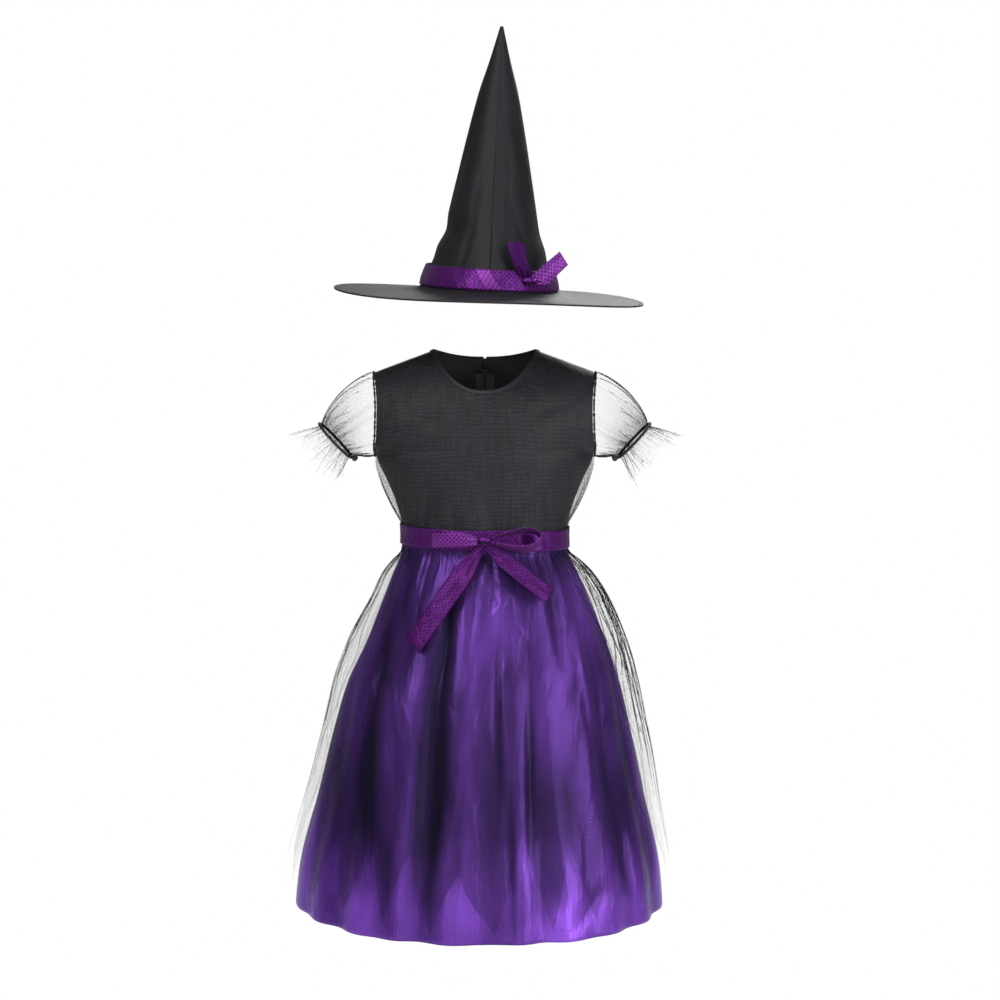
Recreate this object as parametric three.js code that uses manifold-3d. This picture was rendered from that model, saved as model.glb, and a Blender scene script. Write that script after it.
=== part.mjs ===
// Witch costume for a child: a sleeveless black satin bodice under black net, two net puff sleeves, a gathered
// purple satin skirt under a pointed net overskirt, a dotted ribbon belt with a bow, and a tall pointed hat.
// Millimetres. The origin is the middle of the shoulder line, -Y is the front, +X the wearer's left, +Z up.
import * as THREE from 'three';
import { mergeVertices } from 'three/addons/utils/BufferGeometryUtils.js';
import Module from 'manifold-3d';

// Thickness of each cloth, the gap at a seam, and the gap between cloths that lie on each other.
const SATIN = 1.1;
const NET = 1.0;
const RIBBON = 1.0;
const SEAM = 0.3;
const LAYER = 0.35;

// Cloths on the body, counted outwards from the outer face of the satin.
const NET_IN = LAYER;
const NET_OUT = NET_IN + NET;
const TOP_IN = NET_OUT + LAYER;
const TOP_OUT = TOP_IN + RIBBON;

// Heights of the dress.
const WAIST = -196;
const UNDERARM = -107;
const SHOULDER_TIP = -14;
const NECK_POINT = 10.5;
const HEM_FRONT = -617;
const HEM_SIDE = -609;
const HEM_BACK = -604;

// Half widths at the shoulder and the neck, the neck's depth in front and behind, and how full its curves are.
const SHOULDER_HALF = 122;
const NECK_HALF = 56.5;
const NECK_LOW_FRONT = -32;
const NECK_LOW_BACK = 1.3;
const NECK_FULLNESS = 2.4;
const BINDING_WIDTH = 4;
const BINDING_IN = TOP_IN + 0.45;

// A body ring is a rounded rectangle: 2 is an ellipse. The skirt is squarer at the wearer's left.
const BODY_SQUARE = 2.3;
const HEM_SQUARE_LEFT = 2.5;
const HEM_SQUARE_RIGHT = 2.15;

// How far the shoulder takes to roll over from the seam, and how deep the armhole reaches to front and back.
const SHOULDER_ROLL = 75;
const ARMHOLE_WIDEST = -60;
const ARMHOLE_DEPTH = { front: 42, back: 40 };

const BODICE_RINGS = [
  { z: WAIST, half: 92.5, front: 71, back: 60 },
  { z: -184, half: 92.5, front: 71, back: 60 },
  { z: -157, half: 99.7, front: 71, back: 61 },
  { z: -133, half: 109.5, front: 72, back: 63 },
  { z: UNDERARM, half: 121, front: 72, back: 65 },
  { z: -80, half: 119.5, front: 70, back: 66 },
  { z: -45, half: 119, front: 64, back: 64 },
  { z: -14, half: SHOULDER_HALF, front: 58, back: 59 },
  { z: 11, half: SHOULDER_HALF, front: 54, back: 55 },
];

const SKIRT_RINGS = [
  { z: -622, half: 208.5, front: 183, back: 177, shift: -7 },
  { z: -560, half: 202, front: 173, back: 167, shift: -6 },
  { z: -490, half: 184.5, front: 157, back: 151, shift: -4.5 },
  { z: -414, half: 167, front: 140, back: 134, shift: -3 },
  { z: -362, half: 153.5, front: 125, back: 119, shift: -1.5 },
  { z: -316, half: 135.5, front: 109, back: 103, shift: 1.5 },
  { z: -240, half: 105, front: 84, back: 76, shift: 0.5 },
  { z: -213, half: 93.2, front: 71.7, back: 60.7, shift: 0 },
  { z: WAIST, half: 92.5, front: 71, back: 60, shift: 0 },
];

// Troughs of the satin skirt: angle from the centre front, depth and half spread at the hem, height of the start.
const SKIRT_FOLDS = [
  { at: -67, depth: 6, spread: 6, start: -330 },
  { at: -48, depth: 11, spread: 6, start: -235 },
  { at: -31, depth: 6, spread: 5, start: -380 },
  { at: -17, depth: 13, spread: 6, start: -225 },
  { at: 2, depth: 9, spread: 6, start: -240 },
  { at: 16, depth: 12, spread: 5, start: -290 },
  { at: 33, depth: 6, spread: 6, start: -400 },
  { at: 50, depth: 9, spread: 6, start: -250 },
  { at: 70, depth: 8, spread: 6, start: -300 },
  { at: 102, depth: 9, spread: 6, start: -260 },
  { at: 119, depth: 6, spread: 5, start: -360 },
  { at: 136, depth: 12, spread: 7, start: -230 },
  { at: 157, depth: 8, spread: 6, start: -300 },
  { at: 176, depth: 12, spread: 6, start: -240 },
  { at: -163, depth: 7, spread: 5, start: -350 },
  { at: -146, depth: 11, spread: 7, start: -245 },
  { at: -124, depth: 7, spread: 6, start: -320 },
  { at: -104, depth: 10, spread: 6, start: -270 },
];
const WAIST_GATHERS = 20;
const GATHER_DEPTH = 3;

// Heights between hem and waist at which both skirts are shaped; below the last one the belt holds them in.
const SKIRT_LEVELS = [-560, -490, -414, -356, -300, -246, -213];

// How far the net overskirt stands off the satin at the two sides.
const NET_STAND = [
  { z: -622, right: 13, left: 6 },
  { z: -577, right: 14, left: 8 },
  { z: -512, right: 14, left: 12 },
  { z: -450, right: 12.5, left: 16 },
  { z: -382, right: 13.5, left: 17 },
  { z: -312, right: 20, left: 21 },
  { z: -266, right: 13, left: 21 },
  { z: -236, right: 10, left: 14 },
  { z: -210, right: 0, left: 0 },
  { z: WAIST, right: 0, left: 0 },
];
const NET_STAND_BACK = 7;
const NET_STAND_FRONT = 2.5;
const NET_POINTS = 24;
const NET_POINT_TURN = 2.5;
const NET_TIP_FRONT = -605;
const NET_TIP_SIDE = -574;
const NET_NOTCH = 93;
const NET_WAVE = 3;

// The loose net at the sides of the bodice.
const NET_SIDE_BULGE = 8;
const NET_SIDE_MIDDLE = -144.5;
const NET_SIDE_REACH = 36.5;

// Net sleeves: the cuff's centre, half axes and slope, the puff, the gathers, and the frill beyond the cord.
const CUFF = { x: 167, z: -90, tall: 24, deep: 27, slope: 47 };
const PUFF_TOP = 13;
const PUFF_SIDE = 9;
const PUFF_BOTTOM = 2;
const SLEEVE_GATHERS = 7;
const SLEEVE_GATHER_DEPTH = 2.5;
const FRILL_LENGTH = 25;
const FRILL_FLARE = 11;
const FRILL_WAVE = 3;
const SLEEVE_CORD = 3.2;
const SLEEVE_CORD_KNOT = 2.8;
const CORD_GROOVE = 2.4;

// Ribbon belt and its bow. The wearer's right end of the belt lies a little higher.
const RIBBON_WIDTH = 22;
const BELT_MIDDLE = -195.5;
const BELT_RISE = 2.5;
const BOW_KNOT = { x: 0, y: -79.3, z: -194.5, wide: 14, deep: 10.6, tall: 12 };

// Loops of the bow: the ribbon's middle line runs out from the knot, round the tip and back behind. Each row
// has the half width of the ribbon there and how far it leans back from upright.
const FLAT_LOOP = [
  { run: 0, x: -7.4, y: -82.5, z: -194, half: 4, lean: 0 },
  { run: 1, x: -20, y: -84, z: -193, half: 7.5, lean: 8 },
  { run: 2, x: -38, y: -80, z: -193.5, half: 8.5, lean: 10 },
  { run: 3, x: -54, y: -73.5, z: -194.5, half: 8.5, lean: 10 },
  { run: 4, x: -58, y: -70.5, z: -195, half: 8.5, lean: 10 },
  { run: 5, x: -54, y: -68.5, z: -195, half: 8.5, lean: 10 },
  { run: 6, x: -38, y: -74, z: -195, half: 8, lean: 8 },
  { run: 7, x: -20, y: -77.5, z: -195, half: 6.5, lean: 4 },
  { run: 8, x: -7.4, y: -78.5, z: -195, half: 4, lean: 0 },
];
const OPEN_LOOP = [
  { run: 0, x: 7.3, y: -80.5, z: -195.5, half: 4, lean: 62 },
  { run: 1, x: 20, y: -82, z: -199.5, half: 7.5, lean: 62 },
  { run: 2, x: 36, y: -82, z: -202.5, half: 9.5, lean: 60 },
  { run: 3, x: 50, y: -80, z: -202, half: 10, lean: 60 },
  { run: 4, x: 59, y: -78.5, z: -196, half: 10, lean: 62 },
  { run: 5, x: 61, y: -78, z: -190, half: 10, lean: 64 },
  { run: 6, x: 55, y: -78.5, z: -185, half: 10, lean: 66 },
  { run: 7, x: 42, y: -80, z: -183.5, half: 9.5, lean: 66 },
  { run: 8, x: 24, y: -80.5, z: -187, half: 7.5, lean: 66 },
  { run: 9, x: 7.3, y: -79.5, z: -192.5, half: 4, lean: 66 },
];

// Tails of the bow, each along a straight line over the front of the net skirt and bowing away from it.
const TAILS = {
  right: { fromX: -2.6, fromZ: -200.8, toX: -78, toZ: -306, half: 10.5, top: 3.2, bow: 5, end: 2 },
  left: { fromX: 2.6, fromZ: -200.8, toX: 71, toZ: -253, half: 8.5, top: 5, bow: 3, end: 14 },
};
const TAIL_PINCH = 0.36;

// Centre back zip: tapes inside the backs, a slider near the top, its bail and the pull tab.
const ZIP_TAPE = { turn: 3.6, top: 1.74, bottom: 0.07, wall: 0.8, gap: 0.6 };
const SLIDER = { z: -13, wide: 7.6, tall: 9.6, plate: 1.6, clear: 0.8, bail: 1.8, neck: 1.7 };
const TAB = { wide: 5, length: 20, wall: 1.1, bar: 1.1, eye: 2.6, eyeEnd: 5.6, lean: 4 };
const BAIL = { leg: 1, gap: 2.3, half: 2.2 };

// Tall crown of the hat above its brim: half width and half depth. Its group holds the hat's place and tilt.
const HAT = { x: 5, y: 0, z: 79.5, pitch: 2.7, tilt: 2.8 };
const CROWN_RINGS = [
  { h: 0, half: 76.5, deep: 92 },
  { h: 4, half: 75.3, deep: 90.5 },
  { h: 28.5, half: 64, deep: 78 },
  { h: 45.5, half: 59.5, deep: 72 },
  { h: 61.5, half: 53.5, deep: 65 },
  { h: 80.5, half: 49.5, deep: 59 },
  { h: 123.5, half: 41, deep: 48 },
  { h: 171.5, half: 31.3, deep: 36 },
  { h: 214.5, half: 21.7, deep: 24 },
  { h: 249.5, half: 11.5, deep: 12.5 },
  { h: 286.5, half: 1.7, deep: 1.8 },
];
const CROWN_DENTS = [
  { at: -70, h: 62, depth: 4, spread: 30, tall: 12 },
  { at: 35, h: 100, depth: 2.5, spread: 25, tall: 20 },
  { at: -25, h: 40, depth: 2.5, spread: 22, tall: 14 },
  { at: 140, h: 70, depth: 3.5, spread: 30, tall: 18 },
  { at: -150, h: 120, depth: 2.5, spread: 30, tall: 22 },
];
const BRIM = { half: 172, deep: 178, wall: 2, rise: 5, flare: 9, drop: 2, wave: 1.6, waves: 3 };
const CROWN_START = 0.9;
const BAND = { low: 1.5, high: 23.5, loose: 4, bulge: 0.75, inner: 1 };
const HAT_KNOT = { x: 41, h: 13, wide: 10, deep: 7, tall: 9, off: 3.1 };

// Free ends of the hat's ribbon: the middle line from the knot out, with its place behind (+) the knot's centre.
const HAT_TAILS = {
  up: [
    { run: 0, x: 38, behind: 0, h: 18.1, half: 5, turn: 8 },
    { run: 1, x: 34.5, behind: -2, h: 28, half: 9, turn: 10 },
    { run: 2, x: 29, behind: -1, h: 41, half: 9.3, turn: 6 },
    { run: 3, x: 26, behind: 3, h: 54, half: 9.3, turn: 2 },
  ],
  side: [
    { run: 0, x: 47.4, behind: -1, h: 13.5, half: 5, turn: 40 },
    { run: 1, x: 56, behind: -1, h: 17, half: 9.5, turn: 38 },
    { run: 2, x: 67, behind: 5, h: 28, half: 9, turn: 48 },
    { run: 3, x: 79, behind: 11, h: 39.5, half: 8.5, turn: 55 },
  ],
};

const COLOURS = {
  blackSatin: { color: 0x2f2e34, roughness: 0.5, metalness: 0 },
  blackNet: { color: 0x1b1b1f, roughness: 0.8, metalness: 0 },
  purpleSatin: { color: 0x4d2a94, roughness: 0.35, metalness: 0 },
  ribbon: { color: 0x5b1f7c, roughness: 0.35, metalness: 0 },
  elastic: { color: 0x101012, roughness: 0.8, metalness: 0 },
  zipTape: { color: 0x1c1c20, roughness: 0.8, metalness: 0 },
  zipMetal: { color: 0x26262a, roughness: 0.4, metalness: 0.7 },
};

const wasm = await Module();
wasm.setup();

const degrees = THREE.MathUtils.degToRad;
const mix = THREE.MathUtils.lerp;
const clamp = THREE.MathUtils.clamp;
const costume = new THREE.Group();
const hat = new THREE.Group();
hat.position.set(HAT.x, HAT.y, HAT.z);
hat.rotation.set(degrees(HAT.pitch), degrees(HAT.tilt), 0);
costume.add(hat);

function addPiece(name, geometry, colour, parent = costume) {
  const mesh = new THREE.Mesh(geometry, new THREE.MeshStandardMaterial(COLOURS[colour]));
  mesh.name = name;
  parent.add(mesh);
  return mesh;
}

// A smooth curve through one column of a table whose rows are sorted by the key column.
function along(table, key, column, at) {
  const rows = table[0][key] < table[table.length - 1][key] ? table : [...table].reverse();
  const last = rows.length - 1;
  let k = 0;
  while (k < last - 1 && at > rows[k + 1][key]) {
    k += 1;
  }
  const slope = (i) => {
    const low = Math.max(0, i - 1);
    const high = Math.min(last, i + 1);
    return (rows[high][column] - rows[low][column]) / (rows[high][key] - rows[low][key]);
  };
  const span = rows[k + 1][key] - rows[k][key];
  const t = clamp((at - rows[k][key]) / span, 0, 1);
  const bend = t * t * (3 - 2 * t);
  const leave = t * (1 - t) * (1 - t) * span * slope(k);
  const arrive = t * t * (t - 1) * span * slope(k + 1);
  return mix(rows[k][column], rows[k + 1][column], bend) + leave + arrive;
}

// Evenly spaced steps between two values, and several such runs joined end to end.
function steps(from, to, count) {
  return Array.from({ length: count + 1 }, (_, i) => mix(from, to, i / count));
}

function runs(...parts) {
  return parts.flatMap(([from, to, count], i) => steps(from, to, count).slice(i ? 1 : 0));
}

// The facets of a grid of points, each of its cells split along the shorter diagonal.
function facetsOf(seat, tall, wide, closed) {
  const facets = [];
  for (let i = 0; i < tall - 1; i += 1) {
    for (let j = 0; j < (closed ? wide : wide - 1); j += 1) {
      const next = (j + 1) % wide;
      const [a, b, c, d] = [i * wide + j, i * wide + next, (i + 1) * wide + next, (i + 1) * wide + j];
      if (seat[a].distanceTo(seat[c]) < seat[b].distanceTo(seat[d])) {
        facets.push([a, b, c], [a, c, d]);
      } else {
        facets.push([a, b, d], [b, c, d]);
      }
    }
  }
  return facets;
}

// A cloth wall: the seat surface sampled on a grid, moved along the mean normals of its facets to an inner and
// an outer face, and closed at its edges. A closed wall runs right round, so its last column joins its first.
// At a seam the normal is turned so that two cloths lie edge to edge; a shift moves the cloth off its seat.
function clothWall(surface, across, up, inner, outer, { closed = false, seam = null, shift = null } = {}) {
  const wide = closed ? across.length - 1 : across.length;
  const tall = up.length;
  const seat = up.flatMap((v) => across.slice(0, wide).map((u) => surface(u, v)));
  const facets = facetsOf(seat, tall, wide, closed);
  const normals = seat.map(() => new THREE.Vector3());
  for (const facet of facets) {
    const [a, b, c] = facet.map((k) => seat[k]);
    const square = b.clone().sub(a).cross(c.clone().sub(a));
    facet.forEach((k) => normals[k].add(square));
  }
  const positions = [];
  for (const lift of [outer, inner]) {
    seat.forEach((place, k) => {
      const u = across[k % wide];
      const v = up[Math.floor(k / wide)];
      const outward = normals[k].clone().normalize();
      const point = place.clone().addScaledVector(seam ? seam(outward, u, v).normalize() : outward, lift);
      positions.push(...(shift ? shift(point, u, v) : point).toArray());
    });
  }
  const inn = tall * wide;
  const index = facets.flatMap(([a, b, c]) => [a, b, c, inn + a, inn + c, inn + b]);
  const rim = (a, b) => index.push(b, a, inn + a, b, inn + a, inn + b);
  const top = (tall - 1) * wide;
  for (let j = 0; j < (closed ? wide : wide - 1); j += 1) {
    const next = (j + 1) % wide;
    rim(j, next);
    rim(top + next, top + j);
  }
  if (!closed) {
    for (let i = 0; i < tall - 1; i += 1) {
      rim((i + 1) * wide, i * wide);
      rim((i + 1) * wide - 1, (i + 2) * wide - 1);
    }
  }
  const geometry = new THREE.BufferGeometry();
  geometry.setAttribute('position', new THREE.Float32BufferAttribute(positions, 3));
  geometry.setIndex(index);
  geometry.computeVertexNormals();
  return geometry;
}

// Closed pieces joined into one solid.
function joined(...geometries) {
  const solids = geometries.map((geometry) => {
    const bare = geometry.clone();
    bare.deleteAttribute('normal');
    bare.deleteAttribute('uv');
    const merged = mergeVertices(bare, 1e-4);
    return new wasm.Manifold(new wasm.Mesh({
      numProp: 3,
      vertProperties: new Float32Array(merged.attributes.position.array),
      triVerts: new Uint32Array(merged.index.array),
    }));
  });
  const solid = solids.reduce((whole, next) => whole.add(next)).getMesh();
  const geometry = new THREE.BufferGeometry();
  geometry.setAttribute('position', new THREE.Float32BufferAttribute(solid.vertProperties, 3));
  geometry.setIndex(Array.from(solid.triVerts));
  geometry.computeVertexNormals();
  return geometry;
}

const sideOf = (facing) => (facing >= 0 ? 'front' : 'back');

// Height of the shoulder line over a point of its width, rounded off between the two neck points.
function shoulderHeight(x) {
  const slope = (SHOULDER_TIP - NECK_POINT) / (SHOULDER_HALF - NECK_HALF);
  const wide = Math.abs(x);
  if (wide >= NECK_HALF) {
    return NECK_POINT + (wide - NECK_HALF) * slope;
  }
  return NECK_POINT + (wide * wide - NECK_HALF * NECK_HALF) * slope / NECK_HALF / 2;
}

function armholeDepth(side, z) {
  if (z <= UNDERARM) {
    return 0;
  }
  const below = clamp((ARMHOLE_WIDEST - z) / (ARMHOLE_WIDEST - UNDERARM), 0, 1);
  return ARMHOLE_DEPTH[side] * Math.sqrt(1 - below * below);
}

// The torso's outer face at a given width and height, on its front or back.
function torsoAt(side, x, z) {
  const reach = clamp(Math.abs(x) / along(BODICE_RINGS, 'z', 'half', z), 0, 1);
  const rim = armholeDepth(side, z);
  const full = (1 - reach ** BODY_SQUARE) ** (1 / BODY_SQUARE);
  const flat = 1 - reach ** BODY_SQUARE;
  const middle = along(BODICE_RINGS, 'z', side, z);
  const across = rim + (middle - rim) * mix(full, flat, rim / ARMHOLE_DEPTH[side]);
  const over = 1 - clamp((shoulderHeight(x) - z) / SHOULDER_ROLL, 0, 1);
  const depth = across * Math.sqrt(1 - over ** 2.2) + SEAM / 2;
  return new THREE.Vector3(x, side === 'front' ? -depth : depth, z);
}

function widthAt(angle, half) {
  const sine = Math.sin(degrees(angle));
  return Math.sign(sine) * Math.abs(sine) ** (2 / BODY_SQUARE) * half;
}

function torso(angle, z) {
  return torsoAt(sideOf(Math.cos(degrees(angle))), widthAt(angle, along(BODICE_RINGS, 'z', 'half', z)), z);
}

// Height of the bodice's upper edge over a point of its width: the neck curve, or the shoulder seam beside it.
function topEdge(side, x) {
  const inward = Math.abs(x) / NECK_HALF;
  if (inward >= 1) {
    return shoulderHeight(x);
  }
  const low = side === 'front' ? NECK_LOW_FRONT : NECK_LOW_BACK;
  return mix(low, NECK_POINT, inward ** NECK_FULLNESS);
}

// The bodice as a sheet: v runs from 0 at the waist through 1 at the underarm to 2 at the upper edge.
function bodice(angle, v) {
  if (v <= 1) {
    return torso(angle, mix(WAIST + SEAM / 2, UNDERARM, v));
  }
  const top = topEdge(sideOf(Math.cos(degrees(angle))), widthAt(angle, SHOULDER_HALF));
  return torso(angle, mix(UNDERARM, top, 0.5 - 0.5 * Math.cos(Math.PI * (v - 1))));
}

const edge = 1e-6;
const zipGap = 0.35;
const besideSeam = (angle) => Math.abs(Math.cos(degrees(angle))) < 1e-3;

// At the side seams and the shoulder seams front and back meet edge to edge, and at the zip the two backs.
function bodiceSeam(normal, angle, v) {
  const shoulder = v === 2 && Math.abs(widthAt(angle, SHOULDER_HALF)) > NECK_HALF - 0.01;
  if ((besideSeam(angle) && v <= 1) || shoulder) {
    normal.y = 0;
  }
  if (Math.abs(angle - 180) < 2 * zipGap) {
    normal.x = 0;
  }
  if (v === 0) {
    normal.z = 0;
  }
  return normal;
}

// The net over it is loose at the sides, between the underarm and the waist.
function looseSide(point, angle) {
  const tall = (point.z - NET_SIDE_MIDDLE) / NET_SIDE_REACH;
  const loose = NET_SIDE_BULGE * Math.max(0, 1 - tall * tall) * Math.abs(Math.sin(degrees(angle))) ** 10;
  point.x += Math.sign(point.x) * loose;
  return point;
}

// Columns of the neck: even round its oval, then on to the side.
const angleAt = (x) => THREE.MathUtils.radToDeg(Math.asin((x / SHOULDER_HALF) ** (BODY_SQUARE / 2)));
const neckAngles = steps(0, 90, 6).map((turn) => angleAt(NECK_HALF * Math.sin(degrees(turn))));
const neckAngle = neckAngles.at(-1);
const frontNeck = [...neckAngles.slice(1).map((angle) => -angle).reverse(), ...neckAngles];
const leftBackNeck = [180 - zipGap, ...neckAngles.slice(1).map((angle) => 180 - angle)].reverse();
const shoulderColumns = steps(neckAngle, 90 - edge, 5).slice(1);
const bodiceHeights = [0, 0.17, 0.42, 0.72, 1, 1.2, 1.4, 1.58, 1.74, 1.88, 2];
const frontColumns = [...shoulderColumns.map((angle) => -angle).reverse(), ...frontNeck, ...shoulderColumns];
const leftBackColumns = [...shoulderColumns.map((angle) => 180 - angle).reverse(), ...leftBackNeck];
const rightBackColumns = leftBackColumns.map((angle) => 360 - angle).reverse();
const PANELS = { front: frontColumns, back_left: leftBackColumns, back_right: rightBackColumns };
for (const [name, columns] of Object.entries(PANELS)) {
  const satin = clothWall(bodice, columns, bodiceHeights, -SATIN, 0, { seam: bodiceSeam });
  addPiece(`bodice_${name}`, satin, 'blackSatin');
  const over = { seam: bodiceSeam, shift: looseSide };
  const net = clothWall(bodice, columns, bodiceHeights, NET_IN, NET_OUT, over);
  addPiece(`net_bodice_${name}`, net, 'blackNet');
}

// Binding of the neck: from the edge inwards over the cloth, square to the edge and along the shoulder seam.
function binding(side, angle, v) {
  const x = widthAt(angle, SHOULDER_HALF);
  const wide = Math.min(Math.abs(x), NECK_HALF);
  const slope = (topEdge(side, wide) - topEdge(side, wide - 0.01)) / 0.01;
  const square = new THREE.Vector2(slope, -1).normalize();
  const seam = new THREE.Vector2(1, (SHOULDER_TIP - NECK_POINT) / (SHOULDER_HALF - NECK_HALF)).normalize();
  const away = square.lerp(seam, (wide / NECK_HALF) ** 6).normalize().multiplyScalar(BINDING_WIDTH * (1 - v));
  return torsoAt(side, Math.sign(x) * (Math.abs(x) + away.x), topEdge(side, x) + away.y);
}

const NECK_PARTS = {
  front: { side: 'front', columns: frontNeck },
  back_left: { side: 'back', columns: leftBackNeck },
  back_right: { side: 'back', columns: leftBackNeck.map((angle) => 360 - angle).reverse() },
};
for (const [name, { side, columns }] of Object.entries(NECK_PARTS)) {
  const seat = (angle, v) => binding(side, angle, v);
  const seam = (normal, angle) => bodiceSeam(normal, angle, 2);
  const strip = clothWall(seat, columns, [0, 1], BINDING_IN, BINDING_IN + SATIN, { seam });
  addPiece(`neck_binding_${name}`, strip, 'blackSatin');
}

// Centre back zip: two tapes inside the backs, and the slider at its top with the pull tab on its bail.
const tapeOut = -SATIN - ZIP_TAPE.gap;
const tapeIn = tapeOut - ZIP_TAPE.wall;
const tapeHeights = [ZIP_TAPE.bottom, ...bodiceHeights.filter((v) => v > ZIP_TAPE.bottom && v <= ZIP_TAPE.top)];
for (const [name, hand] of [['left', -1], ['right', 1]]) {
  const ends = [180 + hand * zipGap, 180 + hand * ZIP_TAPE.turn].sort((a, b) => a - b);
  const tape = clothWall(bodice, ends, tapeHeights, tapeIn, tapeOut, { seam: bodiceSeam });
  addPiece(`zip_tape_${name}`, tape, 'zipTape');
}

const backAxes = new THREE.Matrix4();
{
  const seat = torsoAt('back', 0, SLIDER.z);
  const rise = torsoAt('back', 0, SLIDER.z + 1).sub(torsoAt('back', 0, SLIDER.z - 1)).normalize();
  const across = new THREE.Vector3(1, 0, 0);
  backAxes.makeBasis(across, rise.clone().cross(across), rise).setPosition(seat);
}
const zip = new THREE.Group();
zip.applyMatrix4(backAxes);
costume.add(zip);

function block(wide, deep, tall, y, z) {
  return new THREE.BoxGeometry(wide, deep, tall).translate(0, y, z);
}

const outerPlate = NET_OUT + SLIDER.clear + SLIDER.plate / 2;
const innerPlate = tapeIn - SLIDER.clear - SLIDER.plate / 2;
const plateFace = outerPlate + SLIDER.plate / 2;
const neckDeep = outerPlate - innerPlate;
const bailOuter = new THREE.Shape();
bailOuter.moveTo(-BAIL.half - BAIL.leg, -0.2);
bailOuter.lineTo(BAIL.half + BAIL.leg, -0.2);
bailOuter.lineTo(BAIL.half + BAIL.leg, BAIL.gap);
bailOuter.lineTo(BAIL.half, BAIL.gap + BAIL.leg);
bailOuter.lineTo(-BAIL.half, BAIL.gap + BAIL.leg);
bailOuter.lineTo(-BAIL.half - BAIL.leg, BAIL.gap);
const bailHole = new THREE.Path();
bailHole.moveTo(-BAIL.half, 0.05);
bailHole.lineTo(-BAIL.half, BAIL.gap);
bailHole.lineTo(BAIL.half, BAIL.gap);
bailHole.lineTo(BAIL.half, 0.05);
bailOuter.holes.push(bailHole);
const bail = new THREE.ExtrudeGeometry(bailOuter, { depth: SLIDER.bail, bevelEnabled: false });
bail.translate(0, 0, -SLIDER.bail / 2).rotateX(Math.PI / 2).rotateZ(Math.PI / 2).rotateX(Math.PI / 2);
bail.translate(0, plateFace, 0);
const slider = joined(
  block(SLIDER.wide, SLIDER.plate, SLIDER.tall, outerPlate, 0),
  block(SLIDER.wide, SLIDER.plate, SLIDER.tall, innerPlate, 0),
  block(SLIDER.neck, neckDeep, SLIDER.tall / 3, (outerPlate + innerPlate) / 2, SLIDER.tall / 3),
  bail,
);
addPiece('zip_slider', slider, 'zipMetal', zip);

const tabOutline = new THREE.Shape();
tabOutline.moveTo(-TAB.wide / 2, TAB.bar / 2);
tabOutline.lineTo(-TAB.wide / 2, -TAB.length + 2);
tabOutline.lineTo(-TAB.wide / 4, -TAB.length);
tabOutline.lineTo(TAB.wide / 4, -TAB.length);
tabOutline.lineTo(TAB.wide / 2, -TAB.length + 2);
tabOutline.lineTo(TAB.wide / 2, TAB.bar / 2);
const tabEye = new THREE.Path();
tabEye.moveTo(-TAB.eye / 2, -TAB.bar / 2);
tabEye.lineTo(TAB.eye / 2, -TAB.bar / 2);
tabEye.lineTo(TAB.eye / 2, -TAB.eyeEnd);
tabEye.lineTo(-TAB.eye / 2, -TAB.eyeEnd);
tabOutline.holes.push(tabEye);
const tab = new THREE.ExtrudeGeometry(tabOutline, { depth: TAB.wall, bevelEnabled: false });
tab.translate(0, 0, -TAB.wall / 2).rotateX(Math.PI / 2);
const pull = addPiece('zip_pull', tab, 'zipMetal', zip);
pull.position.set(0, plateFace + BAIL.gap / 2, -BAIL.half + 0.9);
pull.rotation.set(degrees(-TAB.lean), 0, 0);

// Satin skirt: v runs from 0 at the hem to 1 at the waist seam.

function hemHeight(angle) {
  const facing = Math.cos(degrees(angle));
  return mix(HEM_SIDE, facing > 0 ? HEM_FRONT : HEM_BACK, facing * facing);
}

// A point of the skirt's ring, pushed out square to the ring.
function skirtRing(angle, z, push) {
  const sine = Math.sin(degrees(angle));
  const facing = Math.cos(degrees(angle));
  const half = along(SKIRT_RINGS, 'z', 'half', z);
  const deep = along(SKIRT_RINGS, 'z', sideOf(facing), z);
  const flared = clamp((WAIST - z) / (WAIST - HEM_SIDE), 0, 1);
  const square = mix(BODY_SQUARE, sine > 0 ? HEM_SQUARE_LEFT : HEM_SQUARE_RIGHT, flared);
  const x = Math.sign(sine) * Math.abs(sine) ** (2 / square) * half;
  const y = -Math.sign(facing) * (Math.abs(facing) ** (2 / square) * deep + SEAM / 2);
  const outward = new THREE.Vector2(x / half / half, y / deep / deep).normalize();
  const shift = along(SKIRT_RINGS, 'z', 'shift', z);
  return new THREE.Vector3(x + shift + outward.x * push, y + outward.y * push, z);
}

function foldDepth(angle, z) {
  let depth = 0;
  for (const fold of SKIRT_FOLDS) {
    const turn = Math.abs(((angle - fold.at + 540) % 360) - 180) / fold.spread;
    const grown = clamp((fold.start - z) / (fold.start - HEM_SIDE), 0, 1);
    depth += fold.depth * Math.exp(-turn * turn) * Math.sin(grown * Math.PI / 2);
  }
  return depth;
}

function gatherDepth(angle, z) {
  const near = clamp((WAIST - z) / 25, 0.2, 1) * clamp((z + 420) / 180, 0, 1);
  return GATHER_DEPTH * near * (0.5 - 0.5 * Math.cos(degrees(angle * WAIST_GATHERS)));
}

// The height at a row of the cloth's grid, from the heights of its whole rows.
function levelAt(levels, row) {
  const below = clamp(Math.floor(row), 0, levels.length - 2);
  return mix(levels[below], levels[below + 1], row - below);
}

function satinSkirt(angle, row) {
  const z = levelAt([hemHeight(angle), ...SKIRT_LEVELS, WAIST - SEAM / 2], row);
  return skirtRing(angle, z, -foldDepth(angle, z) - gatherDepth(angle, z));
}

const skirtColumns = 40;
const skirtRows = steps(0, SKIRT_LEVELS.length + 1, SKIRT_LEVELS.length + 1);
const HALVES = { front: [-90 + edge, 90 - edge], back: [90 + edge, 270 - edge] };

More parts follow.
